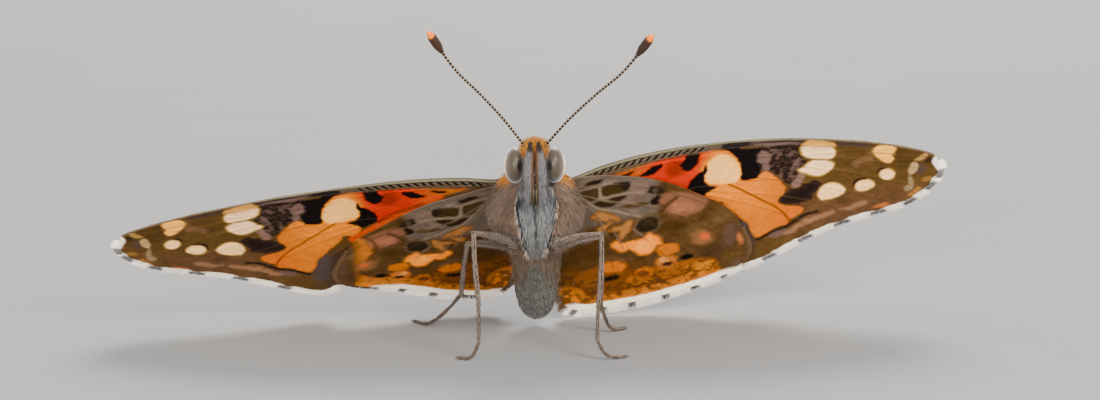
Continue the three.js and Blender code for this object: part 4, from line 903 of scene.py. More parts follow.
def fringe_white(x, y, side, fore):
    """Where the fringe is white: all along a forewing, only further back on a hindwing."""
    if fore:
        return np.ones(len(x))
    if side > 0:
        return (smooth(-11.9, -12.4, y) * smooth(-1.2, -0.7, x)
                * smooth(-13.0, -13.6, y - 0.5 * smooth(1, 4, x)))
    return (smooth(9.8, 9.2, x) * smooth(-12.0, -12.5, y) * smooth(-0.7, -0.2, x)
            * smooth(-13.9, -14.4, y - 2.5 * smooth(1, 4, x)))


def make_fringe(name, side, fore, outer, inward, cut, level, gx, gy):
    """Rows of fine hair scales along the outer margin: white between the veins, dark at each vein's end."""
    step = np.linalg.norm(np.diff(outer, axis=0), axis=1)
    run = np.concatenate([[0], np.cumsum(step)])
    count = int(run[-1] / 0.022) * 2
    s = np.sort(random.uniform(0, run[-1], count))
    at = np.stack([np.interp(s, run, outer[:, k]) for k in (0, 1)], -1)
    inn = np.stack([np.interp(s, run, inward[:, k]) for k in (0, 1)], -1)
    amount = np.interp(s, run, cut)
    gaps = np.array((FORE_NOTCH if fore else HIND_NOTCH)[side])
    near = np.min(np.hypot(at[:, None, 0] - gaps[None, :, 0], at[:, None, 1] - gaps[None, :, 1]), axis=1)
    wide_gap = 0.6 if fore else 0.32
    notch = smooth(wide_gap + 0.12, wide_gap - 0.12, near + random.normal(0, 0.05, count))
    pale = fringe_white(at[:, 0], at[:, 1], side, fore)
    notch = notch * pale
    reach = 0.62 if fore else 0.62 + 0.25 * smooth(9, 6, at[:, 0])
    long = (reach + random.uniform(-0.06, 0.06, count)) * amount * (1 - 0.3 * notch) * (0.6 + 0.4 * pale)
    root = at + inn * (0.5 * amount + 0.06)[:, None]
    slant = random.normal(0, 0.12, count)
    along = np.stack([-inn[:, 1], inn[:, 0]], -1)
    way = -inn + along * slant[:, None]
    tip = root + way * (long + 0.05)[:, None]
    mid = root + way * (long * 0.55)[:, None]
    wide = 0.035
    base_level = np.interp(s, run, [float(level[np.argmin((gx - p[0]) ** 2 + (gy - p[1]) ** 2)]) for p
                                    in outer])
    tier = random.uniform(-0.035, 0.035, count)
    rows = []
    for centre, w, lift in ((root, wide, 0), (mid, wide * 1.1, 0.02), (tip, wide * 0.3, 0)):
        for sign in (-1, 1):
            q = centre + along * (w * 0.5 * sign)
            rows.append(wing_place(q[:, 0], q[:, 1], side, fore, base_level + tier + lift))
    thick = wing_place(mid[:, 0], mid[:, 1], side, fore, base_level + tier - 0.02)
    verts = np.stack(rows + [thick], 1).reshape(-1, 3)
    base = np.arange(count)[:, None] * 7
    faces = np.concatenate([base + np.array(f) for f
                            in ([0, 1, 3], [0, 3, 2], [2, 3, 5], [2, 5, 4], [0, 6, 1], [1, 6, 3],
                                                         [3, 6, 5], [5, 6, 4], [4, 6, 2], [2, 6, 0])])
    white = mix(tone(244, 242, 238), tone(222, 220, 218), random.uniform(0, 1, count))
    white = mix(np.tile(tone(116, 86, 50), (count, 1)), white, pale)
    dark = tone(84, 84, 98) if fore else tone(60, 52, 54)
    colour = mix(white, dark, notch * (0.8 + 0.2 * random.uniform(0, 1, count)))
    colours = np.repeat(colour, 7, axis=0)
    corner = patch([(0, 0), (1, 0), (0, 0.5), (1, 0.5), (0, 1), (1, 1), (0.5, 0.5)])
    uv = (plan_spot(*root.T)[:, None, :] + corner[None]).reshape(-1, 2)
    piece(name + "_fringe", verts, faces, FRINGE_MATERIAL, (), colours, uv, shade=False)


# Fineness of a wing's grid, its half thickness, and the width and height of a vein's ridge
GRID_STEP, HALF_THICK, VEIN_WIDTH, VEIN_HEIGHT = 0.09, 0.035, 0.1, 0.032
# Points that the spline sets for each point of a wing's outline
PER_POINT = 8
WING_MATERIAL = tinted("wing_scales", 0.62, 0.12, 0.10, 0.25, gloss=0.01)
FRINGE_MATERIAL = tinted("fringe_hair", 0.7, 0.2, 0.08, 0.0, kind="noise", gloss=0.05)
for side in (1, -1):
    for fore in (True, False):
        make_wing(side, fore)


def ring_faces(rings, sides):
    """Quads between rings of points, and the fans that close both ends on two last points."""
    i, j = np.arange(rings - 1)[:, None] * sides, np.arange(sides)[None, :]
    k = (j + 1) % sides
    quads = np.stack([i + j, i + sides + j, i + sides + k, i + k], -1).reshape(-1, 4)
    j, k, n = j.ravel(), k.ravel(), rings * sides
    caps = np.concatenate([np.stack([j, k, np.full(sides, n)], -1),
                           np.stack([n - sides + k, n - sides + j, np.full(sides, n + 1)], -1)])
    return quads, caps


# A tube along a path, with radii spread along it
def tube(path, radii, sides=10, flat=1.0, hint=(0.3, 0.5, 0.8)):
    p = np.array(path, float)
    r = np.interp(np.linspace(0, 1, len(p)), np.linspace(0, 1, len(radii)), radii)
    ahead = np.gradient(p, axis=0)
    ahead /= np.linalg.norm(ahead, axis=1)[:, None]
    across = np.array(hint, float)
    rings = []
    turn = np.arange(sides) / sides * 2 * math.pi
    for q, a, w in zip(p, ahead, r):
        across = across - a * (across @ a)
        across = across / np.linalg.norm(across)
        other = np.cross(a, across)
        rings.append(q + w * (np.cos(turn)[:, None] * across + flat * np.sin(turn)[:, None] * other))
    verts = np.concatenate(rings + [p[:1] - ahead[:1] * r[0] * 0.4, p[-1:] + ahead[-1:] * r[-1] * 0.4])
    quads, caps = ring_faces(len(p), sides)
    return verts, [quads[:, [0, 3, 2, 1]], caps[:, [1, 0, 2]]]


def tilted(v, tilt):
    t = math.radians(tilt)
    return v @ np.array([[1, 0, 0], [0, math.cos(t), math.sin(t)], [0, -math.sin(t), math.cos(t)]])


def ball(centre, radii, tilt=0.0, rows=24, sides=36):
    a = np.linspace(0, math.pi, rows + 1)[1:-1]
    turn = np.arange(sides) / sides * 2 * math.pi
    ring = [np.stack([np.sin(t) * np.cos(turn), np.sin(t) * np.sin(turn), np.full(sides, np.cos(t))], -1)
            for t in a]
    unit = np.concatenate(ring + [np.array([[0, 0, 1.0]]), np.array([[0, 0, -1.0]])])
    return tilted(unit * radii, tilt) + centre, list(ring_faces(rows - 1, sides))


def together(parts):
    """Points and faces of several forms as those of one; faces are kept by their number of corners."""
    verts, faces, n = [], {}, 0
    for v, groups in parts:
        for g in groups if isinstance(groups, list) else [groups]:
            faces.setdefault(g.shape[1], []).append(g + n)
        verts.append(v)
        n += len(v)
    return np.concatenate(verts), [np.concatenate(g) for g in faces.values()]


def fused(parts, voxel, rounds):
    """One closed smooth skin round several closed forms: points, triangles and normals."""
    mesh = make_mesh("shape", *together(parts))
    ob = bpy.data.objects.new("shape", mesh)
    bpy.context.scene.collection.objects.link(ob)
    join = ob.modifiers.new("join", "REMESH")
    join.mode = "VOXEL"
    join.voxel_size = voxel
    soften = ob.modifiers.new("soften", "SMOOTH")
    soften.factor = 0.5
    soften.iterations = rounds
    done = ob.evaluated_get(bpy.context.evaluated_depsgraph_get()).to_mesh()
    done.calc_loop_triangles()
    found = []
    for items, key, kind in ((done.vertices, "co", np.float32), (done.loop_triangles, "vertices", np.int32),
                             (done.vertices, "normal", np.float32)):
        row = np.empty(len(items) * 3, kind)
        items.foreach_get(key, row)
        found.append(row.reshape(-1, 3).astype(float if kind is np.float32 else kind))
    bpy.data.objects.remove(ob)
    bpy.data.meshes.remove(mesh)
    return found


def scatter(points, tris, normals, count, weight):
    a, b, c = (points[tris[:, k]] for k in range(3))
    area = np.linalg.norm(np.cross(b - a, c - a), axis=1) * weight((a + b + c) / 3)
    pick = random.choice(len(tris), count, p=area / area.sum())
    u, v = random.uniform(0, 1, (2, count))
    over = u + v > 1
    u, v = np.where(over, 1 - u, u)[:, None], np.where(over, 1 - v, v)[:, None]
    root = a[pick] * (1 - u - v) + b[pick] * u + c[pick] * v
    n = normals[tris[pick, 0]] * (1 - u - v) + normals[tris[pick, 1]] * u + normals[tris[pick, 2]] * v
    return root, n / np.linalg.norm(n, axis=1)[:, None]


def unit(v):
    return v / np.maximum(np.linalg.norm(v, axis=-1, keepdims=True), 1e-9)


def tufts(root, normal, lie, long, wide, lift, droop, dark, light, spot, short=False):
    """Slim closed tufts from root along lie, raised by lift, bent back by droop; short ones have two rings."""
    n = len(root)
    lie = unit(lie - normal * (lie * normal).sum(1)[:, None])
    side = np.cross(normal, lie)
    lie = unit(lie + side * random.normal(0, 0.16, n)[:, None])
    side = np.cross(normal, lie)
    long = np.broadcast_to(long, n) * random.uniform(0.7, 1.15, n)
    wide = np.broadcast_to(wide, n) * random.uniform(0.75, 1.2, n)
    lift = np.broadcast_to(lift, n) * random.uniform(0.5, 1.4, n)
    sway = random.normal(0, 0.1, n)
    rows = []
    places, widths = ((0, 0.6), (0.85, 0.9)) if short else ((0, 0.42, 0.78), (0.8, 1.0, 0.62))
    for s, w in zip(places, widths):
        c = (root + lie * (long * s * np.cos(lift))[:, None] + normal
             * (long * (np.sin(lift) * s - droop * s * s) - 0.02)[:, None])
        c = c + side * (long * sway * s * s)[:, None]
        rows += [c - side * (wide * w / 2)[:, None], c + side * (wide * w / 2)[:, None], c + normal
                 * (wide * w * 0.45)[:, None]]
    c = root + lie * (long * np.cos(lift))[:, None] + normal * (long * (np.sin(lift) - droop) - 0.02)[:, None]
    rows.append(c + side * (long * sway)[:, None])
    verts = np.stack(rows, 1).reshape(-1, 3)
    m = 3 * len(places)
    base = np.arange(n)[:, None] * (m + 1)
    strip = [[0, 2, 1], [m - 3, m - 2, m], [m - 2, m - 1, m], [m - 1, m - 3, m]]
    for k in range(0, m - 3, 3):
        for a, b in ((0, 1), (1, 2), (2, 0)):
            strip += [[k + a, k + b, k + 3 + b], [k + a, k + 3 + b, k + 3 + a]]
    faces = np.concatenate([base + np.array(f) for f in strip])
    t = np.array([v for v in places for _ in range(3)] + [1.0])
    shade = random.uniform(0.86, 1.1, n)[:, None, None]
    # Each tuft runs from the dark colour at its root to the light one at its tip: painted shade deep in the
    # coat
    colours = (dark[:, None, :] * (1 - t)[None, :, None] + light[:, None, :] * t[None, :, None]) * shade
    corner = patch([(a, b) for b in places for a in (0, 1, 0.5)] + [(0.5, 1)])
    uv = np.clip(spot, 0.002, 0.998)[:, None, :] + corner[None]
    return verts, faces, colours.reshape(-1, 3), uv.reshape(-1, 2)


# The body's line, from the face back to the tail, in the plane of symmetry (y, z)
AXIS = np.vstack([[(0.6, 14.6), (1.6, 13.9)],
                  spline([(2.4, 12.7), (4.3, 10.5), (6.4, 8.1), (8.9, 5.32), (10.9, 3.2), (12.4, 1.82),
                          (13.7, 1.12)], 6)])


def about_axis(p):
    """Share of the way along the body, and the angle round it: 0 is the underside, half a turn the back."""
    _, t = to_line(p[:, 1], p[:, 2], AXIS)
    run = np.concatenate([[0], np.cumsum(np.linalg.norm(np.diff(AXIS, axis=0), axis=1))])
    near = np.stack([np.interp(t * run[-1], run, AXIS[:, k]) for k in (0, 1)], -1)
    ahead = np.stack([np.interp(t * run[-1], run, np.gradient(AXIS[:, k], run)) for k in (0, 1)], -1)
    ahead = unit(ahead)
    belly = (p[:, 1] - near[:, 0]) * ahead[:, 1] - (p[:, 2] - near[:, 1]) * ahead[:, 0]
    angle = np.arctan2(p[:, 0] - BODY_X, belly)
    back = np.stack([np.zeros(len(p)), ahead[:, 0], ahead[:, 1]], -1)
    return t, angle, back


def along_and_round(p):
    """As about_axis, but with both sides alike: the turn is 0 on the underside and 1 on the back."""
    t, angle, _ = about_axis(p)
    return t, np.abs(angle) / math.pi


def thorax_form(inset):
    sections = [(0, 1.7, 1.3, 1.25), (0.12, 2.5, 2.0, 1.75), (0.28, 3.15, 2.7, 2.15), (0.45, 3.55, 3.1, 2.45),
                (0.62, 3.5, 3.05, 2.5), (0.78, 3.05, 2.6, 2.25), (0.92, 2.3, 1.95, 1.75), (1, 1.8, 1.6, 1.4)]
    table = spline([s[1:] for s in sections], 3) - inset
    place = spline([(s[0],) for s in sections], 3)[:, 0]
    sides = 28
    turn = np.arange(sides) / sides * 2 * math.pi
    rings = []
    for s, (w, back, belly) in zip(place, table):
        y, z = 2.0 + 4.5 * s, 13.15 - 5.15 * s
        high = np.where(np.cos(turn) > 0, back, belly) * np.cos(turn)
        rings.append(np.stack([BODY_X + w * np.sin(turn), y + 0.753 * high, z + 0.658 * high], -1))
    verts = np.concatenate(rings + [rings[0].mean(0)[None], rings[-1].mean(0)[None]])
    return verts, list(ring_faces(len(rings), sides))


def abdomen_form(inset):
    n = 40
    line = evenly(spline([(6.3, 8.2), (6.78, 7.7), (8.9, 5.32), (10.9, 3.2), (12.4, 1.82), (13.7, 1.12)], 8),
                  n)
    s = np.linspace(0, 1, n)
    r = ((1.45 + 0.25 * np.sin(math.pi * np.minimum(1, 1.05 * s))) * np.sqrt(np.maximum(1 - s**9, 0.02))
         - inset)
    r = np.maximum(r * (1 - 0.025 * np.abs(np.sin(s * math.pi * 7.5)) ** 0.5), 0.12)
    return tube(np.column_stack([np.full(n, BODY_X), line]), r, 24)


HEAD = np.array([BODY_X, 1.1, 14.2])
skin_points, skin_tris, skin_normals = fused([
    thorax_form(0.62), abdomen_form(0.14), ball(HEAD, (1.22, 1.45, 1.15), EYE_TILT),
    tube([(BODY_X, 1.6, 13.7), (BODY_X, 3.0, 12.2)], [1.15, 1.3], 16),
    tube([(BODY_X, 5.6, 9.0), (BODY_X, 7.2, 7.2)], [1.45, 1.3], 16),
], 0.13, 8)


def body_tint(p):
    """Markings shared by skin and coat."""
    t, turn = along_and_round(p)
    x = p[:, 0] - BODY_X
    patchy = turn + 0.05 * cloud(p[:, 0] + p[:, 1], p[:, 2], 0.9, 3)
    mid = smooth(0.2, 0.10, turn) * smooth(0.5, 0.4, t) * smooth(0.04, 0.1, t)
    tail = smooth(0.46, 0.56, t)
    collar = (smooth(0.09, 0.13, t) * smooth(12.3, 13.0, p[:, 2]) * smooth(0.4, 0.5, turn)
              * smooth(0.27, 0.2, t))
    head = smooth(0.135, 0.105, t)
    return layered(
        len(p), (184, 168, 150),
        ((156, 136, 112), smooth(0.16, 0.32, patchy)), ((124, 100, 72), smooth(0.4, 0.55, patchy)),
        ((104, 76, 46), smooth(0.7, 0.9, patchy)), ((188, 186, 184), mid),
        ((146, 144, 132), tail * smooth(0.6, 0.4, turn)),
        ((126, 104, 74), tail * smooth(0.26, 0.42, turn) * smooth(0.7, 0.5, turn)),
        ((96, 70, 42), tail * smooth(0.55, 0.75, turn)),
        ((104, 96, 80), 0.5 * tail * smooth(0.75, 0.98, np.abs(np.sin(t * 52)))),
        # Orange shoulders and crown
        ((214, 154, 78), collar * 0.9), ((206, 154, 90), head * smooth(0.3, 0.45, turn)),
        ((186, 130, 72), head * smooth(0.45, 0.3, turn) * smooth(0.55, 0.3, np.abs(x))),
        ((176, 168, 156), head * smooth(0.62, 0.8, np.abs(x)) * smooth(0.5, 0.35, turn)),
    )


def spot_of(p):
    t, angle, _ = about_axis(p)
    return np.stack([0.5 + angle / (2 * math.pi), t], -1)


def hair(name, made):
    verts, faces, colours, uv = made
    piece(name, verts, faces, HAIR_MATERIAL, (), colours, uv, shade=False)


def coat(name, slot, count, weight, long, wide, lift, droop=0.1, flow=None, tint=body_tint, deep=0.5,
         short=False):
    """Tufts over the skin: count of them, thicker where weight is greater, with roots darker by deep as
    painted shade deep in the coat.
    """
    root, normal = scatter(skin_points, skin_tris, skin_normals, count, weight)
    _, _, back = about_axis(root)
    lie = flow(root, back) if flow else back
    light = tint(root)
    long = long(root) if callable(long) else long
    light = light * random.uniform(0.62, 1.3, count)[:, None]
    hair(name, tufts(root, normal, lie, long, wide, lift, droop, light * deep, light, spot_of(root),
                           short))


SKIN_MATERIAL = tinted("body_skin", 0.7, 0.16, 0.2, 0.5, kind="noise")
HAIR_MATERIAL = tinted("body_hair", 0.62, 0.5, 0.12, 0.0, sheen=0.25, kind="noise")
CUTICLE_MATERIAL = tinted("dark_cuticle", 0.4, 0.1, 0.2, 0.4, kind="noise", coat=0.1)
SCALE_MATERIAL = tinted("leg_scales", 0.6, 0.1, 0.14, 0.5)
# The skin carries the coat's markings at 0.55 of their brightness: painted shade under the hair
piece("body_skin", skin_points, [skin_tris], SKIN_MATERIAL, ["head", "thorax", "abdomen"],
      body_tint(skin_points) * 0.55)


def part_of(low, high, front=None):
    """Weight for roots between two shares of the body's length: on its front, its back or both."""
    def weight(p):
        t, turn = along_and_round(p)
        w = smooth(low - 0.004, low + 0.004, t) * smooth(high + 0.004, high - 0.004, t)
        if front is not None:
            w = w * ((turn < 0.5) == front)
        return w + 1e-9
    return weight


def chest_flow(root, back):
    out = np.zeros_like(root)
    out[:, 0] = np.clip((root[:, 0] - BODY_X) / 2.5, -1, 1) * 0.45
    return back + out


def chest_long(root):
    t, turn = along_and_round(root)
    return (0.8 + 0.8 * smooth(0.12, 0.3, t) * smooth(0.1, 0.35, turn)
            + 0.5 * smooth(0.16, 0.08, turn) * smooth(0.3, 0.2, t))


def skirt(p):
    """Roots of the long hair that hangs beside the waist."""
    t, turn = along_and_round(p)
    return (smooth(0.3, 0.36, t) * smooth(0.7, 0.55, t) * smooth(0.1, 0.22, turn) * smooth(0.8, 0.65, turn)
            + 1e-9)


def skirt_long(root):
    return 2.5 - 1.4 * smooth(0.44, 0.54, along_and_round(root)[0])


def skirt_flow(root, back):
    out = np.zeros_like(root)
    out[:, 0] = np.sign(root[:, 0] - BODY_X) * (0.06 + 0.2 * smooth(0.44, 0.54, along_and_round(root)[0]))
    out[:, 2] = -1.1
    return back * 0.6 + out


def skirt_tint(p):
    c = mix(body_tint(p), tone(132, 106, 72), 0.5)
    return mix(c, tone(168, 148, 120), random.uniform(0, 1, len(p)) ** 2 * 0.7)


coat("chest_coat_a", "body_coat", 11500, part_of(0.135, 0.32, True), chest_long, 0.055, 0.42, 0.16,
     chest_flow)
coat("chest_coat_b", "body_coat", 11500, part_of(0.32, 0.5, True), chest_long, 0.055, 0.42, 0.16, chest_flow)
coat("back_coat_a", "body_coat", 7000, part_of(0.135, 0.32, False), 1.25, 0.065, 0.42, 0.16)
coat("back_coat_b", "body_coat", 7000, part_of(0.32, 0.5, False), 1.35, 0.065, 0.4, 0.16)
coat("abdomen_coat", "body_coat", 9500, part_of(0.5, 1.0), 0.62, 0.085, 0.3, 0.14, short=True)
coat("waist_coat", "body_coat", 7500, skirt, skirt_long, 0.036, 0.36, 0.12, skirt_flow, skirt_tint)


def away_from_eyes(p):
    free = np.ones(len(p))
    for s in (-1, 1):
        d = np.linalg.norm((p - (BODY_X + EYE_OUT * s, EYE_Y, EYE_Z)) / (0.95, 1.25, 1.35), axis=1)
        free *= smooth(0.8, 1.0, d)
    return free * smooth(0.139, 0.131, along_and_round(p)[0]) + 1e-9


def head_flow(root, back):
    up = np.array([0, 0.25, 1.0])
    crown = smooth(14.2, 15.2, root[:, 2])[:, None]
    out = np.zeros_like(root)
    out[:, 0] = (root[:, 0] - BODY_X) * 0.5
    return back * (1 - crown) * 0.4 + up + out


def head_long(root):
    return 0.34 + 0.34 * smooth(14.4, 15.2, root[:, 2]) * random.uniform(0.5, 1.4, len(root))


coat("head_coat", "head_coat", 7000, away_from_eyes, head_long, 0.045, 0.85, 0.04, head_flow, deep=0.3)


# Hair along the inner margin of each hindwing, lying back beside the abdomen
for s, label in SIDES:
    n = 2600
    v = random.uniform(0, 1, n)
    u = np.interp(v, [0, 0.4, 0.8, 1], [-0.5, -0.8, -1.0, -0.7]) + random.exponential(0.32, n)
    v = -1.5 - 11.8 * v
    long = 0.6 + 0.6 * smooth(-6, -10, v)
    level = np.full(n, -0.62)
    root = wing_place(u, v, s, False, level)
    back = unit(wing_place(u, v - 0.1, s, False, level) - root)
    inward = unit(wing_place(u - 0.1, v, s, False, level) - root)
    normal = unit(wing_place(u, v, s, False, level - 0.1) - root)
    light = layered(n, (146, 108, 62), ((112, 82, 48), random.uniform(0, 1, n)),
                    ((176, 160, 134), random.uniform(0, 1, n) ** 3))
    # Roots darker than the tips: painted shade among the hair
    made = tufts(root, normal, back + inward * 0.9, long, 0.042, 0.12, 0.05, light * 0.6, light,
                 plan_spot(u, v), True)
    hair("hindwing_" + label + "_hair", made)


# Eyes: domed, grey-brown with darker mottling, a dark spot towards the palps and a pale rim of scales behind;
# the cream on the dome's outer side is painted glow, light shining through the eye's edge
EYE_MATERIAL = tinted("eye_facets", 0.42, 0.035, 0.06, 0.3, sheen=0.55, coat=0.06)
for s, label in SIDES:
    centre = np.array([BODY_X + EYE_OUT * s, EYE_Y, EYE_Z])
    verts, faces = ball(centre, (0.8, 1.32, 1.2), EYE_TILT, 56, 88)
    local = (verts - centre) * [s, 1, 1]
    out, ahead, up = local.T
    pupil = np.hypot((out + 0.36) / 0.2, (up - 0.1) / 0.4)
    front = ahead < 0
    mottle = cloud(up * 1.3, out + ahead, 0.7, 4)
    c = layered(
        len(verts), (98, 84, 64),
        ((92, 80, 60), smooth(0.1, 0.7, mottle) * 0.6), ((132, 118, 98), smooth(0.25, 0.6, out) * 0.8),
        # Cream on the outer side of the dome: painted glow of light through the eye's edge
        ((226, 214, 192), smooth(0.56, 0.68, out) * smooth(-0.75, -0.55, ahead) * smooth(0.35, 0.1, ahead)
         * 0.75),
        ((74, 60, 44), smooth(-0.1, -0.5, out) * 0.85), ((20, 16, 12), smooth(1.15, 0.7, pupil) * front),
        *(((84, 70, 50), smooth(1.5, 0.4, np.hypot(out - dx, up - dz) / r) * 0.5 * front)
          for dx, dz, r in ((0.05, -0.45, 0.12), (0.2, 0.4, 0.11), (0.15, -0.75, 0.09), (-0.1, 0.75, 0.1))),
    )
    piece("eye_" + label + "_dome", verts, faces, EYE_MATERIAL, ["eye_" + label], c)
    # Short pale scales round the back of the eye
    n = 700
    turn = random.uniform(0, 2 * math.pi, n)
    deep = random.uniform(-0.1, 0.12, n)
    ring = np.stack([deep - 0.12, np.cos(turn) * 1.33, np.sin(turn) * 1.21], -1)
    turned = tilted(ring, EYE_TILT)
    outward = unit(turned * [0, 1, 1])
    root = turned * [s, 1, 1] + centre - outward * 0.06
    lie = outward * 0.25 + [0.9 * s, 0.0, 0.0]
    pale = layered(n, (206, 196, 176))
    # Roots darker than the tips: painted shade among the scales
    hair("eye_" + label + "_rim",
         tufts(root, outward, lie, 0.2, 0.05, 0.12, 0.05, pale * 0.8, pale,
               np.stack([turn / 6.3, deep + 0.5], -1), True))


# Tufts over a tube: roots spread along its line and round it
def coat_tube(path, radii, count, long, wide, lift, tint, flat=1.0, hint=(0.3, 0.5, 0.8), forward=1.0,
              turn_range=(0, 2 * math.pi), droop=0.08, span=(0, 1)):
    n = 160
    p = evenly(np.array(path, float), n)
    ahead = unit(np.gradient(p, axis=0))
    across = [np.array(hint, float)]
    for a in ahead:
        q = across[-1] - a * (across[-1] @ a)
        across.append(q / np.linalg.norm(q))
    across = np.array(across[1:])
    other = np.cross(ahead, across)
    t = random.uniform(*span, count)
    k = np.minimum((t * (n - 1)).astype(int), n - 2)
    part = (t * (n - 1) - k)[:, None]
    take = lambda a: a[k] * (1 - part) + a[k + 1] * part
    turn = random.uniform(*turn_range, count)
    r = np.interp(t, np.linspace(0, 1, len(radii)), radii)[:, None]
    c, s = np.cos(turn)[:, None], np.sin(turn)[:, None]
    root = take(p) + r * (c * take(across) + flat * s * take(other))
    normal = unit(c * flat * take(across) + s * take(other))
    light = tint(t, turn, root)
    # Roots at 0.7 of the tip colour: painted shade down among the hair
    return tufts(root, normal, take(ahead) * forward, long, wide, lift, droop, light * 0.7, light,
                 np.stack([turn / 6.3 % 1, t], -1), True)


def joined(name, material, parts, nodes=(), shade=False):
    verts, faces = together([part[:2] for part in parts])
    piece(name, verts, faces, material, nodes, np.concatenate([part[2] for part in parts]),
          np.concatenate([part[3] for part in parts]), shade)


# Direction across the body, from which turns round a palp, a brush or the coil are counted
ACROSS = (1, 0, 0)

# Palps: upcurved, close together, grey-white in front, dark and pointed at the tip
for s, label in SIDES:
    px = [BODY_X + s * v for v in (0.5, 0.54, 0.52, 0.46, 0.3)]
    path = spline([(px[0], 1.2, 12.6), (px[1], 0.1, 11.85), (px[2], -0.75, 12.6), (px[3], -1.1, 14.1),
                   (px[4], -1.15, 15.75)], 8)
    radii = [0.26, 0.3, 0.31, 0.3, 0.27, 0.2, 0.05]
    verts, faces = tube(path, radii, 14)
    piece("palp_" + label + "_core", verts, faces, SKIN_MATERIAL, ["palp_" + label],
          layered(len(verts), (150, 142, 138)))

    def palp_tint(t, turn, root, s=s):
        x = (root[:, 0] - BODY_X) * s
        return layered(
            len(t), (178, 176, 176),
            ((118, 114, 114), random.uniform(0, 1, len(t)) ** 1.2),
            ((150, 104, 54), smooth(0.4, 0.24, x) * 0.9), ((62, 44, 32), smooth(0.84, 0.92, t)),
            ((70, 62, 60), smooth(0.66, 0.84, x) * 0.7),
        )

    joined("palp_" + label + "_coat", HAIR_MATERIAL,
           [coat_tube(path, radii, 3300, 0.42, 0.04, 0.28, palp_tint, hint=ACROSS),
            coat_tube(path, radii, 500, 0.7, 0.035, 0.4, palp_tint, hint=ACROSS, span=(0.05, 0.6)),
            coat_tube(path, radii, 320, 0.95, 0.04, 0.2, palp_tint, hint=ACROSS, span=(0.24, 0.5),
                      forward=-1.0)])

# Proboscis: a flat coil seen on edge between the palps, grooved down its middle
COIL_TURNS = 1.8
t = np.linspace(0, 1, 150)
angle = 1.35 + COIL_TURNS * 2 * math.pi * t
reach = 0.86 - 0.56 * t
coil = np.stack([np.full(len(t), BODY_X), -0.28 + reach * np.cos(angle), 12.15 + reach * np.sin(angle)], -1)
lists = []
for s in (-1, 1):
    verts, faces = tube(coil + [0.09 * s, 0, 0], 0.1 * (1 + 0.05 * np.sin(np.arange(len(t)) * 2.1)), 12,
                        hint=ACROSS)
    dark = smooth(0.07, 0.03, np.abs(verts[:, 0] - BODY_X))
    c = layered(len(verts), (92, 78, 44), ((34, 28, 16), dark))
    lists.append((verts, faces, c, np.stack([np.linspace(0, 1, len(verts)), np.full(len(verts), 0.5)], -1)))
joined("proboscis_coil", CUTICLE_MATERIAL, lists, ["proboscis"], shade=True)

# Feelers: thin and dark with a pale ring at each joint, ending in a dark club with a pale tip
for s, label in SIDES:
    root, tip = np.array([BODY_X + s * 0.5, 0.75, 15.2]), np.array([8.3, -9.0, 24.55] if s > 0
                                                                   else [-7.04, -9.0, 24.9])
    drops = [(0, 0), (0.25, -0.15), (0.5, 0.05), (0.75, 0.4), (1, 0)]
    n, sides = 360, 14
    line = evenly(spline([root + (tip - root) * f - [0, 0, d] for f, d in drops], 24), n)
    t = np.linspace(0, 1, n)
    joint = t * 42 % 1
    r = 0.088 * (1 + 0.1 * np.sin(joint * math.pi)) + 0.06 * smooth(0.05, 0.0, t)
    club = smooth(0.83, 0.92, t) * (1 - 0.62 * smooth(0.955, 1.0, t) ** 1.5)
    r = r + 0.23 * club
    verts, faces = tube(line, r, sides)
    share, ring, middle, around = (np.repeat(v, sides) for v in (t, joint, line[:, 1], r))
    under = (verts[:-2, 1] - middle) / around
    pale = smooth(0.30, 0.22, ring) * smooth(0.9, 0.82, share) * (0.55 + 0.45 * smooth(0.3, -0.5, under))
    c = layered(len(share), (46, 34, 26), ((206, 192, 170), pale),
                ((96, 62, 38), smooth(0.86, 0.9, share) * smooth(0.2, -0.6, under) * 0.6),
                ((232, 158, 92), smooth(0.972, 0.985, share)))
    c = np.concatenate([c, c[:1], c[-1:]])
    piece("antenna_" + label + "_shaft", verts, faces, CUTICLE_MATERIAL, ["antenna_" + label],
          c)

# Walking legs: scaled, with rows of dark spines, spurs at the end of the shin, and a jointed foot with claws
LEGS = {
    "mid_left": [(1.35, 3.4, 7.9), (4.85, -0.2, 9.2), (4.6, -0.35, 4.3),
                 [(4.5, -0.5, 1.9), (4.65, -0.42, 1.2), (5.1, -0.1, 0.45), (5.7, 0.15, 0.15),
                  (6.47, 0.5, 0.13)]],
    "mid_right": [(-1.15, 3.4, 7.9), (-4.3, -0.2, 9.35), (-4.0, -0.35, 4.5),
                  [(-3.98, -0.5, 1.9), (-4.1, -0.42, 1.2), (-4.45, -0.1, 0.45), (-4.9, 0.2, 0.15),
                   (-5.45, 0.55, 0.13)]], "hind_left": [(1.25, 5.2, 7.2), (4.9, 6.9, 7.75), (4.85, 8.5, 2.75),
                  [(5.15, 9.2, 1.45), (5.5, 9.7, 0.55), (5.95, 10.1, 0.2), (6.65, 10.8, 0.13)]],
    "hind_right": [(-1.05, 5.2, 7.2), (-4.87, 7.0, 7.3), (-5.42, 9.5, 3.1),
                   [(-6.3, 10.6, 1.9), (-7.25, 11.7, 0.85), (-8.1, 12.8, 0.22), (-9.1, 14.3, 0.13)]],
}


HIP_RADII = [0.36, 0.3]
THIGH_RADII = [0.24, 0.25, 0.22, 0.18, 0.17]
SHIN_RADII = [0.17, 0.16, 0.175, 0.18, 0.16]


def bent(a, b, sag):
    a, b = np.array(a, float), np.array(b, float)
    return spline([a, a + (b - a) * 0.35 + sag, a + (b - a) * 0.7 + np.array(sag) * 0.8, b], 8)


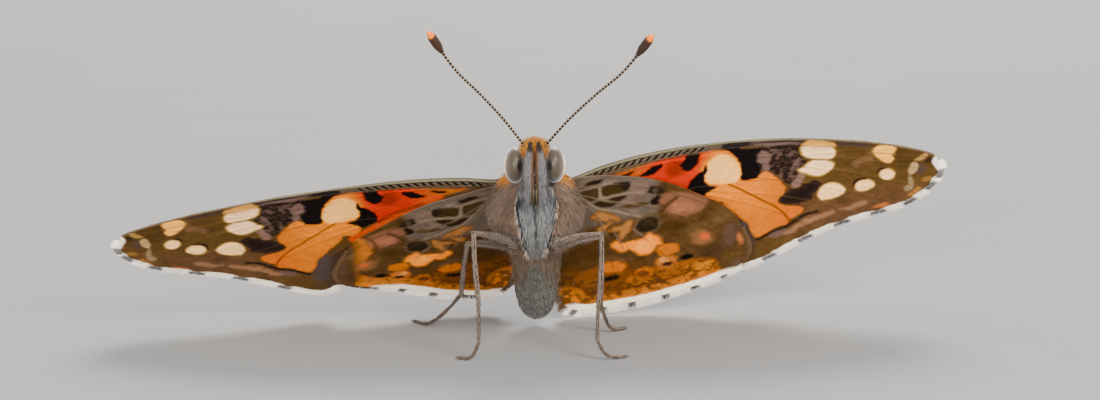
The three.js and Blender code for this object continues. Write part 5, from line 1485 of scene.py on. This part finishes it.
def leg_tint(t, turn, root):
    # The paler band down one side of each leg segment is a painted highlight
    c = layered(len(t), (148, 132, 112), ((182, 170, 154), smooth(0.0, 0.8, np.sin(turn)) * 0.6),
                ((104, 86, 64), smooth(0.4, 1.0, np.sin(turn * 3 + 1.0)) * 0.5))
    return c * random.uniform(0.75, 1.2, len(t))[:, None]


def dark_tint(t, turn, root):
    return layered(len(t), (34, 26, 22))


def plain(verts, rgb):
    shade = 1 + 0.1 * cloud(verts[:, 0] + verts[:, 1], verts[:, 2], 0.3, 6)
    return tone(*rgb)[None] * shade[:, None]


for name, (coxa, knee, ankle, foot) in LEGS.items():
    coxa, knee, ankle = np.array(coxa), np.array(knee), np.array(ankle)
    hip = coxa + (knee - coxa) * 0.13
    side = 1 if name.endswith("left") else -1
    thigh = bent(hip, knee, (0, 0, 0.14))
    shin = bent(knee, ankle, (0.07 * side, -0.04, 0))
    n = 90
    sole = evenly(spline([ankle] + foot, 10), n)
    t = np.linspace(0, 1, n)
    toe = 0.135 - 0.03 * t + 0.016 * np.cos(np.interp(t, [0, 0.45, 0.62, 0.76, 0.88, 1], [0, 1, 2, 3, 4, 5])
                                            * 2 * math.pi)
    cores = []

    def core(path, radii, sides, rgb):
        v, f = tube(path, radii, sides)
        cores.append((v, f, plain(v, rgb), np.full((len(v), 2), 0.5)))

    for path, radii in (([coxa, hip], HIP_RADII), (thigh, THIGH_RADII), (shin, SHIN_RADII), (sole, toe)):
        core(path, radii, 12, (118, 102, 82))
    along = unit(sole[-1] - sole[-4])
    across = unit(np.cross(along, [0, 0, 1]))
    down = unit(ankle - knee)
    for lean in (-1, 1):
        claw = [sole[-1], sole[-1] + along * 0.16 + across * lean * 0.08 + [0, 0, 0.05],
                sole[-1] + along * 0.3 + across * lean * 0.13 + [0, 0, -0.08]]
        core(spline(claw, 5), [0.04, 0.028, 0.008], 6, (40, 28, 22))
        spur = [ankle - down * 0.05, ankle + down * 0.22 + [0.12 * lean, -0.08, 0],
                ankle + down * 0.46 + [0.22 * lean, -0.14, 0]]
        core(spline(spur, 4), [0.05, 0.035, 0.008], 6, (70, 52, 40))
    hairs = [
        coat_tube([coxa, hip], HIP_RADII, 260, 0.4, 0.06, 0.3, leg_tint),
        coat_tube(thigh, THIGH_RADII, 1200, 0.24, 0.05, 0.14, leg_tint, droop=0.03),
        coat_tube(thigh, THIGH_RADII, 170, 0.6, 0.03, 0.5, leg_tint, turn_range=(3.3, 5.6), span=(0, 0.75)),
        coat_tube(shin, SHIN_RADII, 1200, 0.2, 0.045, 0.14, leg_tint, droop=0.03),
        coat_tube(sole, toe, 700, 0.16, 0.04, 0.12, leg_tint, droop=0.03),
    ]
    for turn in (0.4, 2.2, 3.9, 5.3):
        hairs.append(coat_tube(shin, SHIN_RADII, 30, 0.3, 0.05, 0.5, dark_tint, droop=-0.02,
                               turn_range=(turn - 0.12, turn + 0.12), span=(0.04, 0.98)))
        hairs.append(coat_tube(sole, toe, 40, 0.2, 0.036, 0.5, dark_tint, droop=-0.02,
                               turn_range=(turn - 0.15, turn + 0.15), span=(0.03, 0.97)))
    joined("leg_" + name + "_limb", SCALE_MATERIAL, cores, ["leg_" + name], shade=True)
    joined("leg_" + name + "_coat", HAIR_MATERIAL, hairs)

# Fore legs: short brushes folded against the chest, grey-white with a dark outer edge
for s, label in SIDES:
    shift = 0.12 if s > 0 else 0
    bx = [BODY_X + s * v + shift * f for v, f in ((0.86, 1), (0.8, 0.9), (0.62, 0.6), (0.42, 0.3))]
    path = spline([(bx[0], 0.95, 12.45), (bx[1], 1.0, 11.0), (bx[2], 1.85, 9.2), (bx[3], 3.1, 7.3)], 8)
    radii = [0.3, 0.56, 0.56, 0.5, 0.4, 0.27, 0.14]
    verts, faces = tube(path, radii, 18, 0.5, hint=ACROSS)
    piece("brush_" + label + "_core", verts, faces, SKIN_MATERIAL, ["leg_fore_" + label],
          plain(verts, (120, 120, 122)))
    # Where the outer edge and the dark seam lie round the brush
    out_turn = 0.0 if s > 0 else math.pi
    seam = 0.5 if s > 0 else math.pi - 0.75

    def brush_tint(t, turn, root, s=s, out_turn=out_turn, seam=seam):
        outer = np.cos(turn - out_turn)
        rim = smooth(0.72, 0.9, outer) * (1 if s > 0 else smooth(0.7, 0.8, outer))
        top = smooth(0.34 if s > 0 else 0.24, 0.12, t) * smooth(-0.1, 0.4, outer) * smooth(0.98, 0.85, outer)
        return layered(
            len(t), (190, 190, 188),
            ((104, 106, 110), random.uniform(0, 1, len(t)) ** 0.8),
            ((112, 110, 104), smooth(0.6, 0.95, t) * 0.6), ((214, 204, 190), rim * 0.85),
            ((50, 54, 78), top * (random.uniform(0, 1, len(t)) < 0.85) * 0.9),
        )

    def edge_tint(t, turn, root):
        return layered(len(t), (34, 36, 48)) * random.uniform(0.7, 1.3, len(t))[:, None]

    proud = [r + 0.07 for r in radii]
    joined("brush_" + label + "_coat", HAIR_MATERIAL,
           [coat_tube(path, radii, 4600, 0.5, 0.042, 0.24, brush_tint, 0.5, ACROSS),
            coat_tube(path, radii, 600, 0.8, 0.04, 0.35, brush_tint, 0.5, ACROSS),
            coat_tube(path, proud, 260, 0.7, 0.06, 0.22, edge_tint, 0.5, ACROSS,
                      turn_range=(seam - 0.09, seam + 0.09), span=(0.08, 0.85))])
